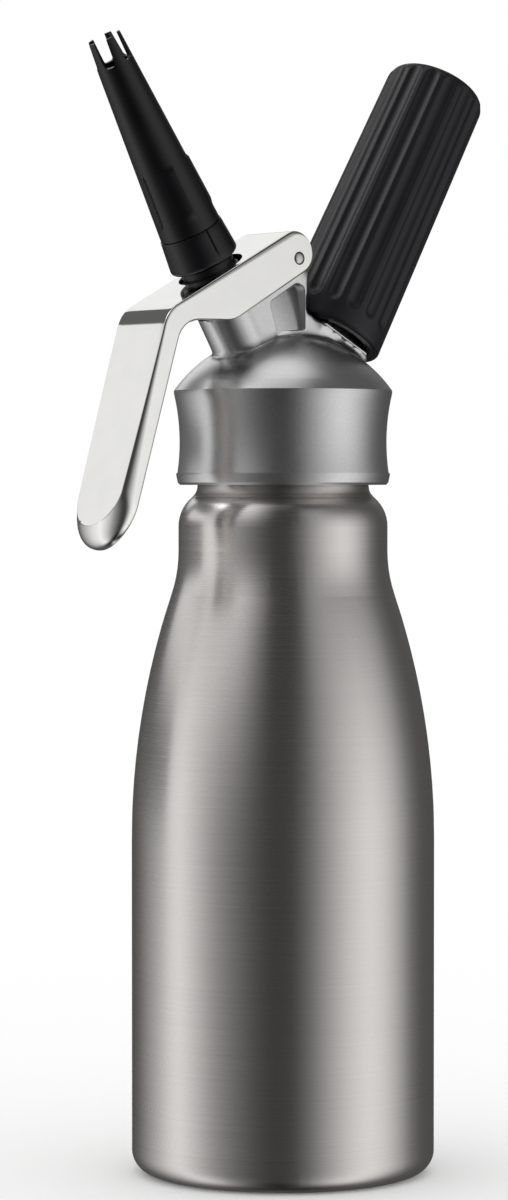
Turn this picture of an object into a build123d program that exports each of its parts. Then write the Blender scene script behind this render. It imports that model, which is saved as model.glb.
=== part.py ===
from build123d import *

import os
from math import atan2, cos, degrees, pi, radians, sin, sqrt

# Cream whipper in millimetres. The origin is the centre of the bottle's foot, +Z is up, the lever is
# towards -X and the charger holder towards +X. The valve and the charger holder lie on two tilted axes
# that meet on the bottle's own axis.

# Bottle
body_radius = 40.0
body_height = 88.0
shoulder_arc = 205.0
waist_radius = 27.6
waist_arc = 36.0
waist_height = 6.5
bead_arc = 10.0
bead_turn = 50.0
neck_arc = 4.0
neck_height = 15.5
bottle_wall = 1.0
foot_fillet = 6.0
foot_ring = 8.0
foot_recess = 1.2

# Screw threads: ridge height, pitch and plain lengths at the two ends of each pair
thread_gap = 0.4
ridge_root_share = 0.45
ridge_crest_share = 0.22
ridge_sink = 0.3
neck_pitch = 4.0
neck_ridge = 1.1
neck_lead_in = 3.0
neck_lead_out = 2.5
stub_pitch = 3.0
stub_ridge = 0.8
stub_lead_in = 3.2
stub_lead_out = 3.0
adapter_pitch = 2.0
adapter_ridge = 0.6
adapter_lead_in = 2.0
adapter_lead_out = 1.8

# Head casting
collar_rise = 0.2
collar_height = 24.1
collar_radius = 27.8
collar_edge = 0.6
band_radius = 28.2
band_height = 3.1
band_step = 0.3
collar_waist_radius = 27.3
collar_waist_share = 0.38
ridge_radius = 28.8
ridge_land = 0.7
dome_radius = 35.0
dome_wall = 6.0
cavity_radius = 18.0
valve_tilt = 30.0
charger_tilt = 29.4
apex_drop = 2.0

# Head gasket
gasket_thickness = 3.0
gasket_width = 4.8
gasket_gap = 0.05
gasket_side_gap = 0.1

# Valve column and what slides in it
column_radius = 8.0
column_height = 11.0
seat_sink = 0.6
chamber_radius = 7.2
annulus_radius = 5.4
annulus_length = 3.0
guide_length = 6.0
stem_radius = 4.0
stem_bore = 2.0
stem_gap = 0.1
stem_hole = 1.3
o_ring_section = 0.75
o_ring_gap = 0.05
o_ring_drop = 1.7
spring_wire = 1.0
spring_side_gap = 0.5
spring_turns = 5
spring_end_gap = 0.05
valve_seal_thickness = 1.75
valve_seal_width = 2.5
seat_gap = 0.05
seal_washer_thickness = 0.9
seal_nut_flats = 10.0
seal_nut_height = 3.8
thread_slack = 0.05

# Lever
press_angle = 7.0
lever_width = 21.0
cheek_wall = 1.9
plate_wall = 2.5
arm_tilt = 1.6
arm_reach = 23.6
plate_rise = 5.0
cheek_depth = 12.0
cheek_front = 6.0
pivot_reach = 20.5
pivot_drop = 7.9
rear_reach = 25.6
rear_round = 4.9
handle_angle = 16.6
handle_length = 64.0
handle_wall = 5.5
bend_round = 9.0
inner_round = 7.0
edge_round = 9.0
nose_slant = 5.2
nose_edge = 0.5
tongue_round = 10.2
channel_front = 14.0
lever_hole = 8.5
lever_hole_shift = 1.2
lug_radius = 1.2
lug_reach = 2.2
lug_gap = 0.1
pin_radius = 1.5
pin_running_gap = 0.05
pin_seat_gap = 0.01
pin_stand = 0.1

# Ear and web that carry the pivot pin
ear_radius = 4.2
ear_side_gap = 0.3
ear_shoulder = 3.8
web_half = 7.9
web_edge = 2.5
pocket_wall = 1.5
pocket_depth = 1.4
pocket_round = 1.3
pocket_floor = 0.9
pocket_top_wall = 4.0

# Thrust ring, nozzle adapter and nozzle
thrust_radius = 8.0
thrust_thickness = 2.0
thrust_clear = 1.0
adapter_boss_radius = 6.0
adapter_boss_length = 2.9
adapter_flange_radius = 8.0
adapter_flange = 1.9
adapter_flange_edge = 0.5
adapter_neck = 2.2
adapter_core = 4.9
adapter_screw = 8.8
adapter_bore = 2.4
stem_seat_depth = 6.0
nozzle_gap = 0.5
nozzle_length = 64.5
nozzle_base_radius = 9.3
nozzle_base_round = 1.2
nozzle_band = 9.5
nozzle_band_radius = 8.5
nozzle_step = 0.25
nozzle_tip_radius = 4.5
nozzle_tip_wall = 0.9
nozzle_passage = 4.7
nozzle_seal_thickness = 1.1
nozzle_seal_bore = 3.0
nozzle_seal_gap = 0.05
prong_count = 5
prong_slot_width = 3.6
prong_slot_depth = 7.1
prong_turn = 0.0
grip_count = 5
grip_rise = 0.7
grip_sink = 0.2
grip_start = 2.0
grip_length = 16.6
grip_turn = 4.0

# Charger holder, its sleeve and what pierces the charger
charger_radius = 9.0
charger_length = 66.0
charger_gap = 0.3
charger_head_room = 1.6
sleeve_wall = 1.5
sleeve_gap = 0.3
sleeve_end_gap = 0.3
sleeve_stub_gap = 1.2
boss_radius = 12.3
boss_rise = 1.7
boss_edge = 0.6
stub_height = 14.5
stub_edge = 0.6
charger_recess = 6.0
charger_recess_radius = 5.6
holder_gap = 0.9
holder_foot_radius = 14.6
holder_top_radius = 13.5
holder_top_wall = 4.0
holder_top_round = 4.0
holder_foot_round = 1.2
flute_count = 16
flute_radius = 2.6
flute_depth = 0.65
flute_start = 4.6
charger_seal_thickness = 2.0
charger_seal_bore = 2.3
insert_gap = 0.05
piercing_length = 8.0
needle_radius = 1.6
needle_seat = 4.0
needle_length = 8.5
needle_cone = 3.2
needle_bore = 0.5
gas_passage = 1.5
check_radius = 5.0
check_depth = 3.6
check_thickness = 1.0
check_stem_radius = 1.4
retainer_thickness = 1.8
retainer_hole = 0.9
retainer_hole_count = 6
retainer_hole_ring = 3.2

# Heights along the bottle, worked out from its arcs
shoulder_run = waist_radius + waist_arc - body_radius + shoulder_arc
shoulder_rise = sqrt((shoulder_arc + waist_arc) ** 2 - shoulder_run**2)
shoulder_turn = degrees(atan2(shoulder_rise, shoulder_run))
waist_z = body_height + shoulder_rise
bead_z = waist_z + waist_height
neck_z = bead_z + (bead_arc + neck_arc) * sin(radians(bead_turn))
neck_radius = waist_radius - (bead_arc + neck_arc) * (1 - cos(radians(bead_turn)))
mouth_z = neck_z + neck_height

# Heights of the head
collar_z = neck_z + collar_rise
ridge_z = collar_z + collar_height
dome_z = ridge_z + ridge_land - sqrt(dome_radius**2 - ridge_radius**2)
dome_top_z = dome_z + dome_radius
gasket_z = mouth_z + gasket_gap
gasket_seat_z = gasket_z + gasket_thickness
head_bore = neck_radius + neck_ridge + thread_gap
apex_z = mouth_z - apex_drop

# Tilted axes: v runs up the valve and h up the charger holder, both counted from the apex
valve_sine = sin(radians(valve_tilt))
valve_cosine = cos(radians(valve_tilt))
charger_sine = sin(radians(charger_tilt))
charger_cosine = cos(radians(charger_tilt))
APEX = (0, 0, apex_z)
VALVE_DIRECTION = (-valve_sine, 0, valve_cosine)
VALVE_FRONT = (-valve_cosine, 0, -valve_sine)
CHARGER_DIRECTION = (charger_sine, 0, charger_cosine)
CHARGER_FRONT = (charger_cosine, 0, -charger_sine)
VALVE_AXIS = Axis(APEX, VALVE_DIRECTION)
CHARGER_AXIS = Axis(APEX, CHARGER_DIRECTION)
VALVE = Plane(origin=APEX, x_dir=VALVE_FRONT, z_dir=VALVE_DIRECTION)
CHARGER = Plane(origin=APEX, x_dir=CHARGER_FRONT, z_dir=CHARGER_DIRECTION)
VALVE_SIDE = Plane(origin=APEX, x_dir=VALVE_FRONT, z_dir=(0, 1, 0))
CHARGER_SIDE = Plane(origin=APEX, x_dir=CHARGER_FRONT, z_dir=(0, -1, 0))


def axis_reach(sphere_radius, direction):
    """Distance along a tilted axis from the apex to a sphere about the dome's centre."""
    lift = apex_z - dome_z
    along = lift * direction[2]
    return -along + sqrt(along**2 - lift**2 + sphere_radius**2)


def valve_point(forward, up):
    """World X and Z of a point in the valve's side plane."""
    x = forward * VALVE_FRONT[0] + up * VALVE_DIRECTION[0]
    z = apex_z + forward * VALVE_FRONT[2] + up * VALVE_DIRECTION[2]
    return (x, z)


def on_valve_column(forward, z):
    """World X and Z of the point at a forward distance from the valve axis and at a world height."""
    up = (z - apex_z - forward * VALVE_FRONT[2]) / VALVE_DIRECTION[2]
    return valve_point(forward, up)


def at_world_x(x, up):
    """World X and Z of the point at a world X and at a distance up the valve axis."""
    forward = (x - up * VALVE_DIRECTION[0]) / VALVE_FRONT[0]
    return valve_point(forward, up)


# Heights along the valve axis
dome_v = axis_reach(dome_radius, VALVE_DIRECTION)
seat_v = axis_reach(dome_radius - dome_wall, VALVE_DIRECTION) + seat_sink
guide_v = seat_v + annulus_length
pocket_v = guide_v + guide_length
column_v = dome_v + column_height
stem_travel = radians(press_angle) * pivot_reach
thrust_v = column_v + stem_travel + thrust_clear
adapter_v = thrust_v + thrust_thickness
flange_v = adapter_v + adapter_boss_length
neck_v = flange_v + adapter_flange
screw_v = neck_v + adapter_neck
adapter_top_v = screw_v + adapter_screw
stem_top_v = neck_v + stem_seat_depth - adapter_boss_length
nozzle_v = screw_v + nozzle_gap
nozzle_seal_v = adapter_top_v + nozzle_seal_gap
nozzle_seat_v = nozzle_seal_v + nozzle_seal_thickness + nozzle_seal_gap
nozzle_tip_v = nozzle_v + nozzle_length
band_v = nozzle_v + nozzle_band
nozzle_screw_bore = adapter_core + adapter_ridge + thread_gap
valve_seal_v = seat_v - seat_gap - valve_seal_thickness
valve_seal_radius = stem_radius + stem_gap + valve_seal_width
seal_washer_v = valve_seal_v - seal_washer_thickness
seal_nut_v = seal_washer_v - seal_nut_height
o_ring_v = pocket_v - o_ring_drop
o_ring_ring = stem_radius + stem_gap - o_ring_gap - o_ring_section
guide_radius = stem_radius + stem_gap
spring_radius = guide_radius + spring_side_gap + spring_wire / 2
pocket_radius = spring_radius + spring_wire / 2 + spring_side_gap

# Heights along the lever, in the valve's side plane
cheek_inner = lever_width / 2 - cheek_wall
plate_top_v = adapter_v + plate_rise
cheek_v = plate_top_v - cheek_depth
pivot_v = plate_top_v - pivot_drop
arm_slope = sin(radians(arm_tilt)) / cos(radians(arm_tilt))
handle_turn = radians(valve_tilt + handle_angle)
handle_run = (sin(handle_turn), -cos(handle_turn))
handle_inward = (-cos(handle_turn), -sin(handle_turn))

# Heights along the charger axis
dome_h = axis_reach(dome_radius, CHARGER_DIRECTION)
boss_h = dome_h + boss_rise
stub_h = boss_h + stub_height
sleeve_bore = charger_radius + charger_gap
sleeve_radius = sleeve_bore + sleeve_wall
holder_bore = sleeve_radius + sleeve_gap
stub_core = holder_bore - thread_gap - stub_ridge
charger_seal_h = stub_h - charger_recess - charger_seal_thickness
piercing_h = charger_seal_h - piercing_length
charger_top_h = stub_h - charger_recess + charger_length
holder_h = boss_h + holder_gap
holder_cavity_h = charger_top_h + charger_head_room
holder_top_h = holder_cavity_h + holder_top_wall
sleeve_h = stub_h + sleeve_stub_gap
check_floor_h = axis_reach(dome_radius - dome_wall, CHARGER_DIRECTION) + check_depth
check_h = check_floor_h - check_thickness
retainer_h = check_h - retainer_thickness


def plate_top(forward):
    """Height of the lever plate's top face above the apex at a forward distance from the valve axis."""
    return plate_top_v + forward * arm_slope


def turned(side_plane, axis, *points):
    """A solid of revolution from the corners (radius, height) of its section."""
    with BuildPart() as solid:
        with BuildSketch(side_plane):
            with BuildLine():
                Polyline(*points, close=True)
            make_face()
        revolve(axis=axis)
    return solid.part


def ring_corners(inner, outer, low, high):
    """The four corners of a plain ring's section."""
    return (inner, low), (outer, low), (outer, high), (inner, high)


def thread_ridge(frame, start, length, pitch, root_radius, height):
    """A trapezoid ridge wound right-handed about a frame's Z axis.

    A positive height stands outwards from the root radius and a negative one inwards.
    """
    outward = 1 if height > 0 else -1
    root_half = pitch * ridge_root_share / 2
    crest_half = pitch * ridge_crest_share / 2
    with BuildPart() as ridge:
        with BuildLine(frame.offset(start)) as path:
            Helix(pitch=pitch, height=length, radius=root_radius, direction=frame.z_dir)
        end = path.line @ 0
        centre = frame.origin + frame.z_dir * start
        section_plane = Plane(origin=end, x_dir=end - centre, z_dir=path.line % 0)
        with BuildSketch(section_plane):
            with BuildLine():
                Polyline(
                    (-outward * ridge_sink, -root_half),
                    (height, -crest_half),
                    (height, crest_half),
                    (-outward * ridge_sink, root_half),
                    close=True,
                )
            make_face()
        sweep(path=path.line, is_frenet=True)
    return ridge.part


def bottle_side(inset):
    """Draw the bottle's side from the foot's fillet to the neck, inset from the outer skin."""
    foot_centre = (body_radius - foot_fillet, foot_fillet)
    shoulder_centre = (body_radius - shoulder_arc, body_height)
    waist_centre = (waist_radius + waist_arc, waist_z)
    bead_centre = (waist_radius - bead_arc, bead_z)
    neck_centre = (neck_radius + neck_arc, neck_z)
    CenterArc(foot_centre, foot_fillet - inset, -90, 90)
    Line((body_radius - inset, foot_fillet), (body_radius - inset, body_height))
    CenterArc(shoulder_centre, shoulder_arc - inset, 0, shoulder_turn)
    CenterArc(waist_centre, waist_arc + inset, 180 + shoulder_turn, -shoulder_turn)
    Line((waist_radius - inset, waist_z), (waist_radius - inset, bead_z))
    CenterArc(bead_centre, bead_arc - inset, 0, bead_turn)
    CenterArc(neck_centre, neck_arc + inset, 180 + bead_turn, -bead_turn)
    Line((neck_radius - inset, neck_z), (neck_radius - inset, mouth_z))


# Bottle: a drawn steel shell with a recessed foot and a screwed neck
neck_screw = neck_height - neck_lead_in - neck_lead_out
neck_ridge_z = neck_z + neck_lead_in
neck_thread = thread_ridge(Plane.XY, neck_ridge_z, neck_screw, neck_pitch, neck_radius, neck_ridge)
foot_radius = body_radius - foot_fillet
recess_radius = foot_radius - foot_ring
recess_flat = recess_radius - foot_recess
floor_z = foot_recess + bottle_wall
with BuildPart() as bottle:
    with BuildSketch(Plane.XZ):
        with BuildLine():
            Polyline((0, foot_recess), (recess_flat, foot_recess), (recess_radius, 0), (foot_radius, 0))
            bottle_side(0)
            Line((neck_radius, mouth_z), (neck_radius - bottle_wall, mouth_z))
            bottle_side(bottle_wall)
            Polyline(
                (foot_radius, bottle_wall),
                (recess_radius, bottle_wall),
                (recess_flat, floor_z),
                (0, floor_z),
            )
            Line((0, floor_z), (0, foot_recess))
        make_face()
    revolve(axis=Axis.Z)
    add(neck_thread)

# Head gasket: a flat ring between the bottle's mouth and the head
gasket_outer = head_bore - gasket_side_gap
gasket_inner = gasket_outer - gasket_width
with BuildPart() as head_gasket:
    with BuildSketch(Plane.XY.offset(gasket_z)):
        Circle(gasket_outer)
        Circle(gasket_inner, mode=Mode.SUBTRACT)
    extrude(amount=gasket_thickness)

# Head casting: collar, dome, valve column, pivot ear and charger boss in one piece
head_ridge_z = neck_ridge_z + neck_pitch / 2
head_screw = neck_screw - neck_pitch / 2
head_thread = thread_ridge(Plane.XY, head_ridge_z, head_screw, neck_pitch, head_bore, -neck_ridge)
stub_screw = stub_height - stub_lead_in - stub_lead_out
stub_ridge_h = boss_h + stub_lead_in
stub_thread = thread_ridge(CHARGER, stub_ridge_h, stub_screw, stub_pitch, stub_core, stub_ridge)
band_z = collar_z + band_height
collar_waist_z = band_z + (ridge_z - band_z) * collar_waist_share
pivot_x, pivot_z = valve_point(-pivot_reach, pivot_v)
pocket_edge = web_edge - pocket_wall
pocket_low_z = dome_top_z + pocket_floor
pocket_top_v = column_v - pocket_top_wall
pocket_side = -column_radius - pocket_floor
charger_boss = turned(
    CHARGER_SIDE,
    CHARGER_AXIS,
    (0, check_floor_h),
    (boss_radius, check_floor_h),
    (boss_radius, boss_h - boss_edge),
    (boss_radius - boss_edge, boss_h),
    (stub_core, boss_h),
    (stub_core, stub_h - stub_edge),
    (stub_core - stub_edge, stub_h),
    (0, stub_h),
)
with BuildPart() as head_casting:
    with BuildSketch(Plane.XZ):
        with BuildLine():
            Polyline(
                (0, collar_z),
                (collar_radius - collar_edge, collar_z),
                (collar_radius, collar_z + collar_edge),
                (band_radius, band_z - collar_edge),
                (band_radius, band_z),
                (band_radius - band_step, band_z),
            )
            ThreePointArc(
                (band_radius - band_step, band_z),
                (collar_waist_radius, collar_waist_z),
                (ridge_radius, ridge_z),
            )
            Line((ridge_radius, ridge_z), (ridge_radius, ridge_z + ridge_land))
            dome_start = degrees(atan2(ridge_z + ridge_land - dome_z, ridge_radius))
            CenterArc((0, dome_z), dome_radius, dome_start, 90 - dome_start)
            Line((0, dome_top_z), (0, collar_z))
        make_face()
    revolve(axis=Axis.Z)
    # Valve column, web, pivot ear, charger boss and its stub
    with BuildSketch(VALVE.offset(seat_v)):
        Circle(column_radius)
    extrude(amount=column_v - seat_v)
    with BuildSketch(Plane.XZ):
        with BuildLine():
            Polyline(
                valve_point(0, seat_v),
                valve_point(0, column_v),
                valve_point(-pivot_reach + ear_radius, column_v),
                valve_point(-pivot_reach + ear_radius, pivot_v),
                (pivot_x, pivot_z + ear_radius),
                (web_edge, pivot_z - ear_shoulder),
                (web_edge, valve_point(0, seat_v)[1]),
                close=True,
            )
        make_face()
        with Locations((pivot_x, pivot_z)):
            Circle(ear_radius)
    extrude(amount=web_half, both=True)
    with BuildSketch(Plane.XZ):
        with Locations((pivot_x, pivot_z)):
            Circle(ear_radius)
    extrude(amount=cheek_inner - ear_side_gap, both=True)
    add(charger_boss)
    add(stub_thread)
    # Pockets that lighten both sides of the web
    for side in (-1, 1):
        with BuildSketch(Plane.XZ.offset(side * web_half)):
            with BuildLine():
                FilletPolyline(
                    valve_point(pocket_side, pocket_top_v),
                    at_world_x(pocket_edge, pocket_top_v),
                    (pocket_edge, pocket_low_z),
                    on_valve_column(pocket_side, pocket_low_z),
                    radius=pocket_round,
                    close=True,
                )
            make_face()
        extrude(amount=-side * pocket_depth, mode=Mode.SUBTRACT)
    # Screwed bore, gasket seat and hollow of the dome
    with BuildSketch(Plane.XZ):
        with BuildLine():
            Polyline(
                (0, collar_z),
                (head_bore, collar_z),
                (head_bore, gasket_seat_z),
                (cavity_radius, gasket_seat_z),
            )
            hollow_radius = dome_radius - dome_wall
            cavity_rise = sqrt(hollow_radius**2 - cavity_radius**2)
            cavity_start = degrees(atan2(cavity_rise, cavity_radius))
            Line((cavity_radius, gasket_seat_z), (cavity_radius, dome_z + cavity_rise))
            CenterArc((0, dome_z), hollow_radius, cavity_start, 90 - cavity_start)
            Line((0, dome_z + hollow_radius), (0, collar_z))
        make_face()
    revolve(axis=Axis.Z, mode=Mode.SUBTRACT)
    add(head_thread)
    # Valve seat, annulus, stem guide and spring pocket
    seat_way = dome_wall + seat_sink
    for radius, low, high in (
        (chamber_radius, seat_v - seat_way, seat_v),
        (annulus_radius, seat_v - seat_way, guide_v),
        (guide_radius, seat_v - seat_way, column_v),
        (pocket_radius, pocket_v, column_v),
    ):
        with BuildSketch(VALVE.offset(low)):
            Circle(radius)
        extrude(amount=high - low, mode=Mode.SUBTRACT)
    # Gas way through the charger stub, with the check valve's counterbore inside the dome
    for radius, low, high in (
        (check_radius, check_floor_h - dome_wall - check_depth, check_floor_h),
        (gas_passage, check_floor_h, piercing_h),
        (charger_recess_radius, piercing_h, stub_h),
    ):
        with BuildSketch(CHARGER.offset(low)):
            Circle(radius)
        extrude(amount=high - low, mode=Mode.SUBTRACT)
    # Hole for the pivot pin
    with BuildSketch(Plane.XZ):
        with Locations((pivot_x, pivot_z)):
            Circle(pin_radius + pin_seat_gap)
    extrude(amount=lever_width, both=True, mode=Mode.SUBTRACT)

# Pivot pin: pressed into the ear, with a slightly rounded end showing on each cheek
with BuildPart() as pivot_pin:
    with BuildSketch(Plane.XZ):
        with Locations((pivot_x, pivot_z)):
            Circle(pin_radius)
    extrude(amount=lever_width / 2 + pin_stand, both=True)
    fillet(pivot_pin.edges().filter_by(GeomType.CIRCLE), radius=pin_stand * 2)

# Lever: a polished casting with two cheeks over the ear, a plate over the valve and a handle bent down
corner = (arm_reach, plate_top(arm_reach))
nose_outer = (corner[0] + handle_length * handle_run[0], corner[1] + handle_length * handle_run[1])
nose_inner = (
    nose_outer[0] + handle_wall * handle_inward[0],
    nose_outer[1] + handle_wall * handle_inward[1],
)
rear_top = (-rear_reach, plate_top(-rear_reach))
rear_low = (-rear_reach, cheek_v)
cheek_end = (cheek_front, cheek_v)
level_slope = valve_sine / valve_cosine
handle_slope = handle_run[1] / handle_run[0]
inner_forward = (
    nose_inner[1] - cheek_v + cheek_front * level_slope - nose_inner[0] * handle_slope
) / (level_slope - handle_slope)
inner_corner = (inner_forward, cheek_v + (inner_forward - cheek_front) * level_slope)
with BuildPart() as lever:
    with BuildSketch(VALVE_SIDE):
        with BuildLine():
            FilletPolyline(
                rear_top,
                corner,
                nose_outer,
                nose_inner,
                inner_corner,
                cheek_end,
                rear_low,
                radius=[rear_round, bend_round, nose_edge, nose_edge, inner_round, edge_round, rear_round],
                close=True,
            )
        make_face()
    extrude(amount=lever_width / 2, both=True)
    # Tongue-shaped end of the handle, cut back towards its inner face
    inward = VALVE_SIDE.from_local_coords(Vector(*handle_inward)) - VALVE_SIDE.origin
    onward = VALVE_SIDE.from_local_coords(Vector(*handle_run)) - VALVE_SIDE.origin
    tongue_end = VALVE_SIDE.from_local_coords(Vector(*nose_outer))
    tongue_face = Plane(origin=tongue_end, x_dir=(0, 1, 0), z_dir=-inward)
    corner_y = tongue_face.to_local_coords(VALVE_SIDE.from_local_coords(Vector(*corner))).Y
    with BuildSketch(tongue_face):
        Rectangle(2 * lever_width, 2 * tongue_round)
        with Locations((0, corner_y)):
            RectangleRounded(lever_width, 2 * handle_length, tongue_round, mode=Mode.SUBTRACT)
    cut_back = inward * handle_wall - onward * nose_slant
    extrude(amount=2 * handle_wall, dir=cut_back, both=True, mode=Mode.SUBTRACT)
    # Channel between the cheeks, hole over the valve and lugs that bear on the thrust ring
    with BuildSketch(VALVE_SIDE):
        with BuildLine():
            Polyline(
                (-2 * rear_reach, plate_top(-2 * rear_reach) - plate_wall),
                (channel_front, plate_top(channel_front) - plate_wall),
                (channel_front, cheek_v - cheek_depth),
                (-2 * rear_reach, cheek_v - cheek_depth),
                close=True,
            )
        make_face()
    extrude(amount=cheek_inner, both=True, mode=Mode.SUBTRACT)
    with BuildSketch(VALVE.offset(adapter_v)):
        with Locations((-lever_hole_shift / 2, 0)):
            SlotCenterToCenter(lever_hole_shift, 2 * lever_hole)
    extrude(amount=2 * plate_rise, mode=Mode.SUBTRACT)
    for side in (-1, 1):
        with BuildSketch(VALVE_SIDE.offset(side * (cheek_inner - lug_reach))):
            with Locations((0, adapter_v + lug_gap + lug_radius)):
                Circle(lug_radius)
        extrude(amount=side * (lug_reach + cheek_wall / 2))
    with BuildSketch(Plane.XZ):
        with Locations((pivot_x, pivot_z)):
            Circle(pin_radius + pin_running_gap)
    extrude(amount=lever_width, both=True, mode=Mode.SUBTRACT)

# Valve stem: a hollow tube with cross holes just above the seat and a groove for its O-ring
stem_low_v = seal_nut_v - thread_slack
with BuildPart() as valve_stem:
    add(turned(VALVE_SIDE, VALVE_AXIS, *ring_corners(0, stem_radius, stem_low_v, stem_top_v)))
    with BuildSketch(VALVE.offset(seat_v)):
        Circle(stem_bore)
    extrude(amount=stem_top_v - seat_v, mode=Mode.SUBTRACT)
    hole_v = seat_v + annulus_length / 2
    with BuildSketch(VALVE_SIDE):
        with Locations((0, hole_v)):
            Circle(stem_hole)
    extrude(amount=2 * stem_radius, both=True, mode=Mode.SUBTRACT)
    groove = ring_corners(
        o_ring_ring - o_ring_section,
        2 * stem_radius,
        o_ring_v - o_ring_section,
        o_ring_v + o_ring_section,
    )
    add(turned(VALVE_SIDE, VALVE_AXIS, *groove), mode=Mode.SUBTRACT)

# O-ring in the stem's groove
with BuildPart() as stem_o_ring:
    with BuildSketch(VALVE_SIDE):
        with Locations((o_ring_ring, o_ring_v)):
            Circle(o_ring_section)
    revolve(axis=VALVE_AXIS)

# Valve seal, its washer and its nut at the lower end of the stem
stem_seat = stem_radius + thread_slack
with BuildPart() as valve_seal:
    top_v = valve_seal_v + valve_seal_thickness
    seal_section = ring_corners(stem_seat, valve_seal_radius, valve_seal_v, top_v)
    add(turned(VALVE_SIDE, VALVE_AXIS, *seal_section))
with BuildPart() as seal_washer:
    washer_section = ring_corners(stem_seat, valve_seal_radius, seal_washer_v, valve_seal_v)
    add(turned(VALVE_SIDE, VALVE_AXIS, *washer_section))
with BuildPart() as seal_nut:
    with BuildSketch(VALVE.offset(seal_nut_v)):
        RegularPolygon(seal_nut_flats / 2, 6, major_radius=False)
        Circle(stem_seat, mode=Mode.SUBTRACT)
    extrude(amount=seal_nut_height)

# Thrust ring under the lever's lugs
with BuildPart() as thrust_ring:
    add(turned(VALVE_SIDE, VALVE_AXIS, *ring_corners(stem_seat, thrust_radius, thrust_v, adapter_v)))


def helix_point(radius, low, pitch, turn):
    """A point on a coil about the valve axis, and the coil's direction there."""
    angle = 2 * pi * turn
    point = VALVE.from_local_coords(Vector(radius * cos(angle), radius * sin(angle), low + pitch * turn))
    course = Vector(-radius * sin(angle), radius * cos(angle), pitch / (2 * pi)).normalized()
    return point, VALVE.from_local_coords(course) - VALVE.origin


def coil_arcs(radius, low, pitch, turns, steps_per_turn):
    """Draw a coil as pairs of tangent arcs and return its points."""
    points = []
    for step in range(turns * steps_per_turn):
        start, out = helix_point(radius, low, pitch, step / steps_per_turn)
        end, into = helix_point(radius, low, pitch, (step + 1) / steps_per_turn)
        chord = end - start
        both = out + into
        square = 2 * (1 - out.dot(into))
        reach = (-chord.dot(both) + sqrt(chord.dot(both) ** 2 + square * chord.dot(chord))) / square
        first = start + out * reach
        last = end - into * reach
        middle = (first + last) / 2
        TangentArc(start, middle, tangent=out)
        TangentArc(middle, end, tangent=last - first)
        points.extend((start, middle))
    points.append(end)
    return points


# Valve spring: an open coil from the pocket's floor to the thrust ring
spring_low_v = pocket_v + spring_end_gap + spring_wire / 2
spring_high_v = thrust_v - spring_end_gap - spring_wire / 2
spring_pitch = (spring_high_v - spring_low_v) / spring_turns
spring_steps = 4
with BuildPart() as valve_spring:
    with BuildLine() as coil:
        spring_points = coil_arcs(spring_radius, spring_low_v, spring_pitch, spring_turns, spring_steps)
    with BuildSketch(Plane(origin=coil.line @ 0, z_dir=coil.line % 0)):
        Circle(spring_wire / 2)
    sweep(path=coil.line)
points_per_turn = 2 * spring_steps
turn_gaps = [
    (spring_points[i + points_per_turn] - spring_points[i]).length - spring_wire
    for i in range(len(spring_points) - points_per_turn)
]
print("valve spring: least gap between turns", round(min(turn_gaps), 3), "mm")

# Nozzle adapter: a flange that shows in the lever's hole, a neck and a screw for the nozzle
adapter_turned = adapter_screw - adapter_lead_in - adapter_lead_out
adapter_ridge_v = screw_v + adapter_lead_in
adapter_thread = thread_ridge(
    VALVE, adapter_ridge_v, adapter_turned, adapter_pitch, adapter_core, adapter_ridge
)
with BuildPart() as nozzle_adapter:
    add(
        turned(
            VALVE_SIDE,
            VALVE_AXIS,
            (stem_seat, adapter_v),
            (adapter_boss_radius, adapter_v),
            (adapter_boss_radius, flange_v),
            (adapter_flange_radius, flange_v),
            (adapter_flange_radius, neck_v - adapter_flange_edge),
            (adapter_flange_radius - adapter_flange_edge, neck_v),
            (adapter_boss_radius, neck_v),
            (adapter_boss_radius, screw_v),
            (adapter_core, screw_v),
            (adapter_core, adapter_top_v),
            (adapter_bore, adapter_top_v),
            (adapter_bore, stem_top_v + thread_slack),
            (stem_seat, stem_top_v + thread_slack),
        )
    )
    add(adapter_thread)

# Nozzle seal: a flat ring between the adapter's end and the shoulder inside the nozzle
with BuildPart() as nozzle_seal:
    seal_outer = nozzle_screw_bore - thread_gap
    seal_top_v = nozzle_seal_v + nozzle_seal_thickness
    seal_section = ring_corners(nozzle_seal_bore, seal_outer, nozzle_seal_v, seal_top_v)
    add(turned(VALVE_SIDE, VALVE_AXIS, *seal_section))


def nozzle_radius(up):
    """Outside radius of the nozzle's tapered body at a height above the apex."""
    share = (up - band_v) / (nozzle_tip_v - band_v)
    foot = nozzle_band_radius - nozzle_step
    return foot + (nozzle_tip_radius - foot) * share


def grip_teeth(radius):
    """Draw the saw-tooth outline of the grip about a body of the given radius."""
    pitch_angle = 360 / grip_count
    for tooth in range(grip_count):
        start = grip_turn + tooth * pitch_angle
        low = Vector(radius - grip_sink, 0).rotate(Axis.Z, start)
        middle = Vector(radius, 0).rotate(Axis.Z, start + pitch_angle / 2)
        high = Vector(radius + grip_rise, 0).rotate(Axis.Z, start + pitch_angle)
        foot = Vector(radius - grip_sink, 0).rotate(Axis.Z, start + pitch_angle)
        ThreePointArc(low, middle, high)
        Line(high, foot)


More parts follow.
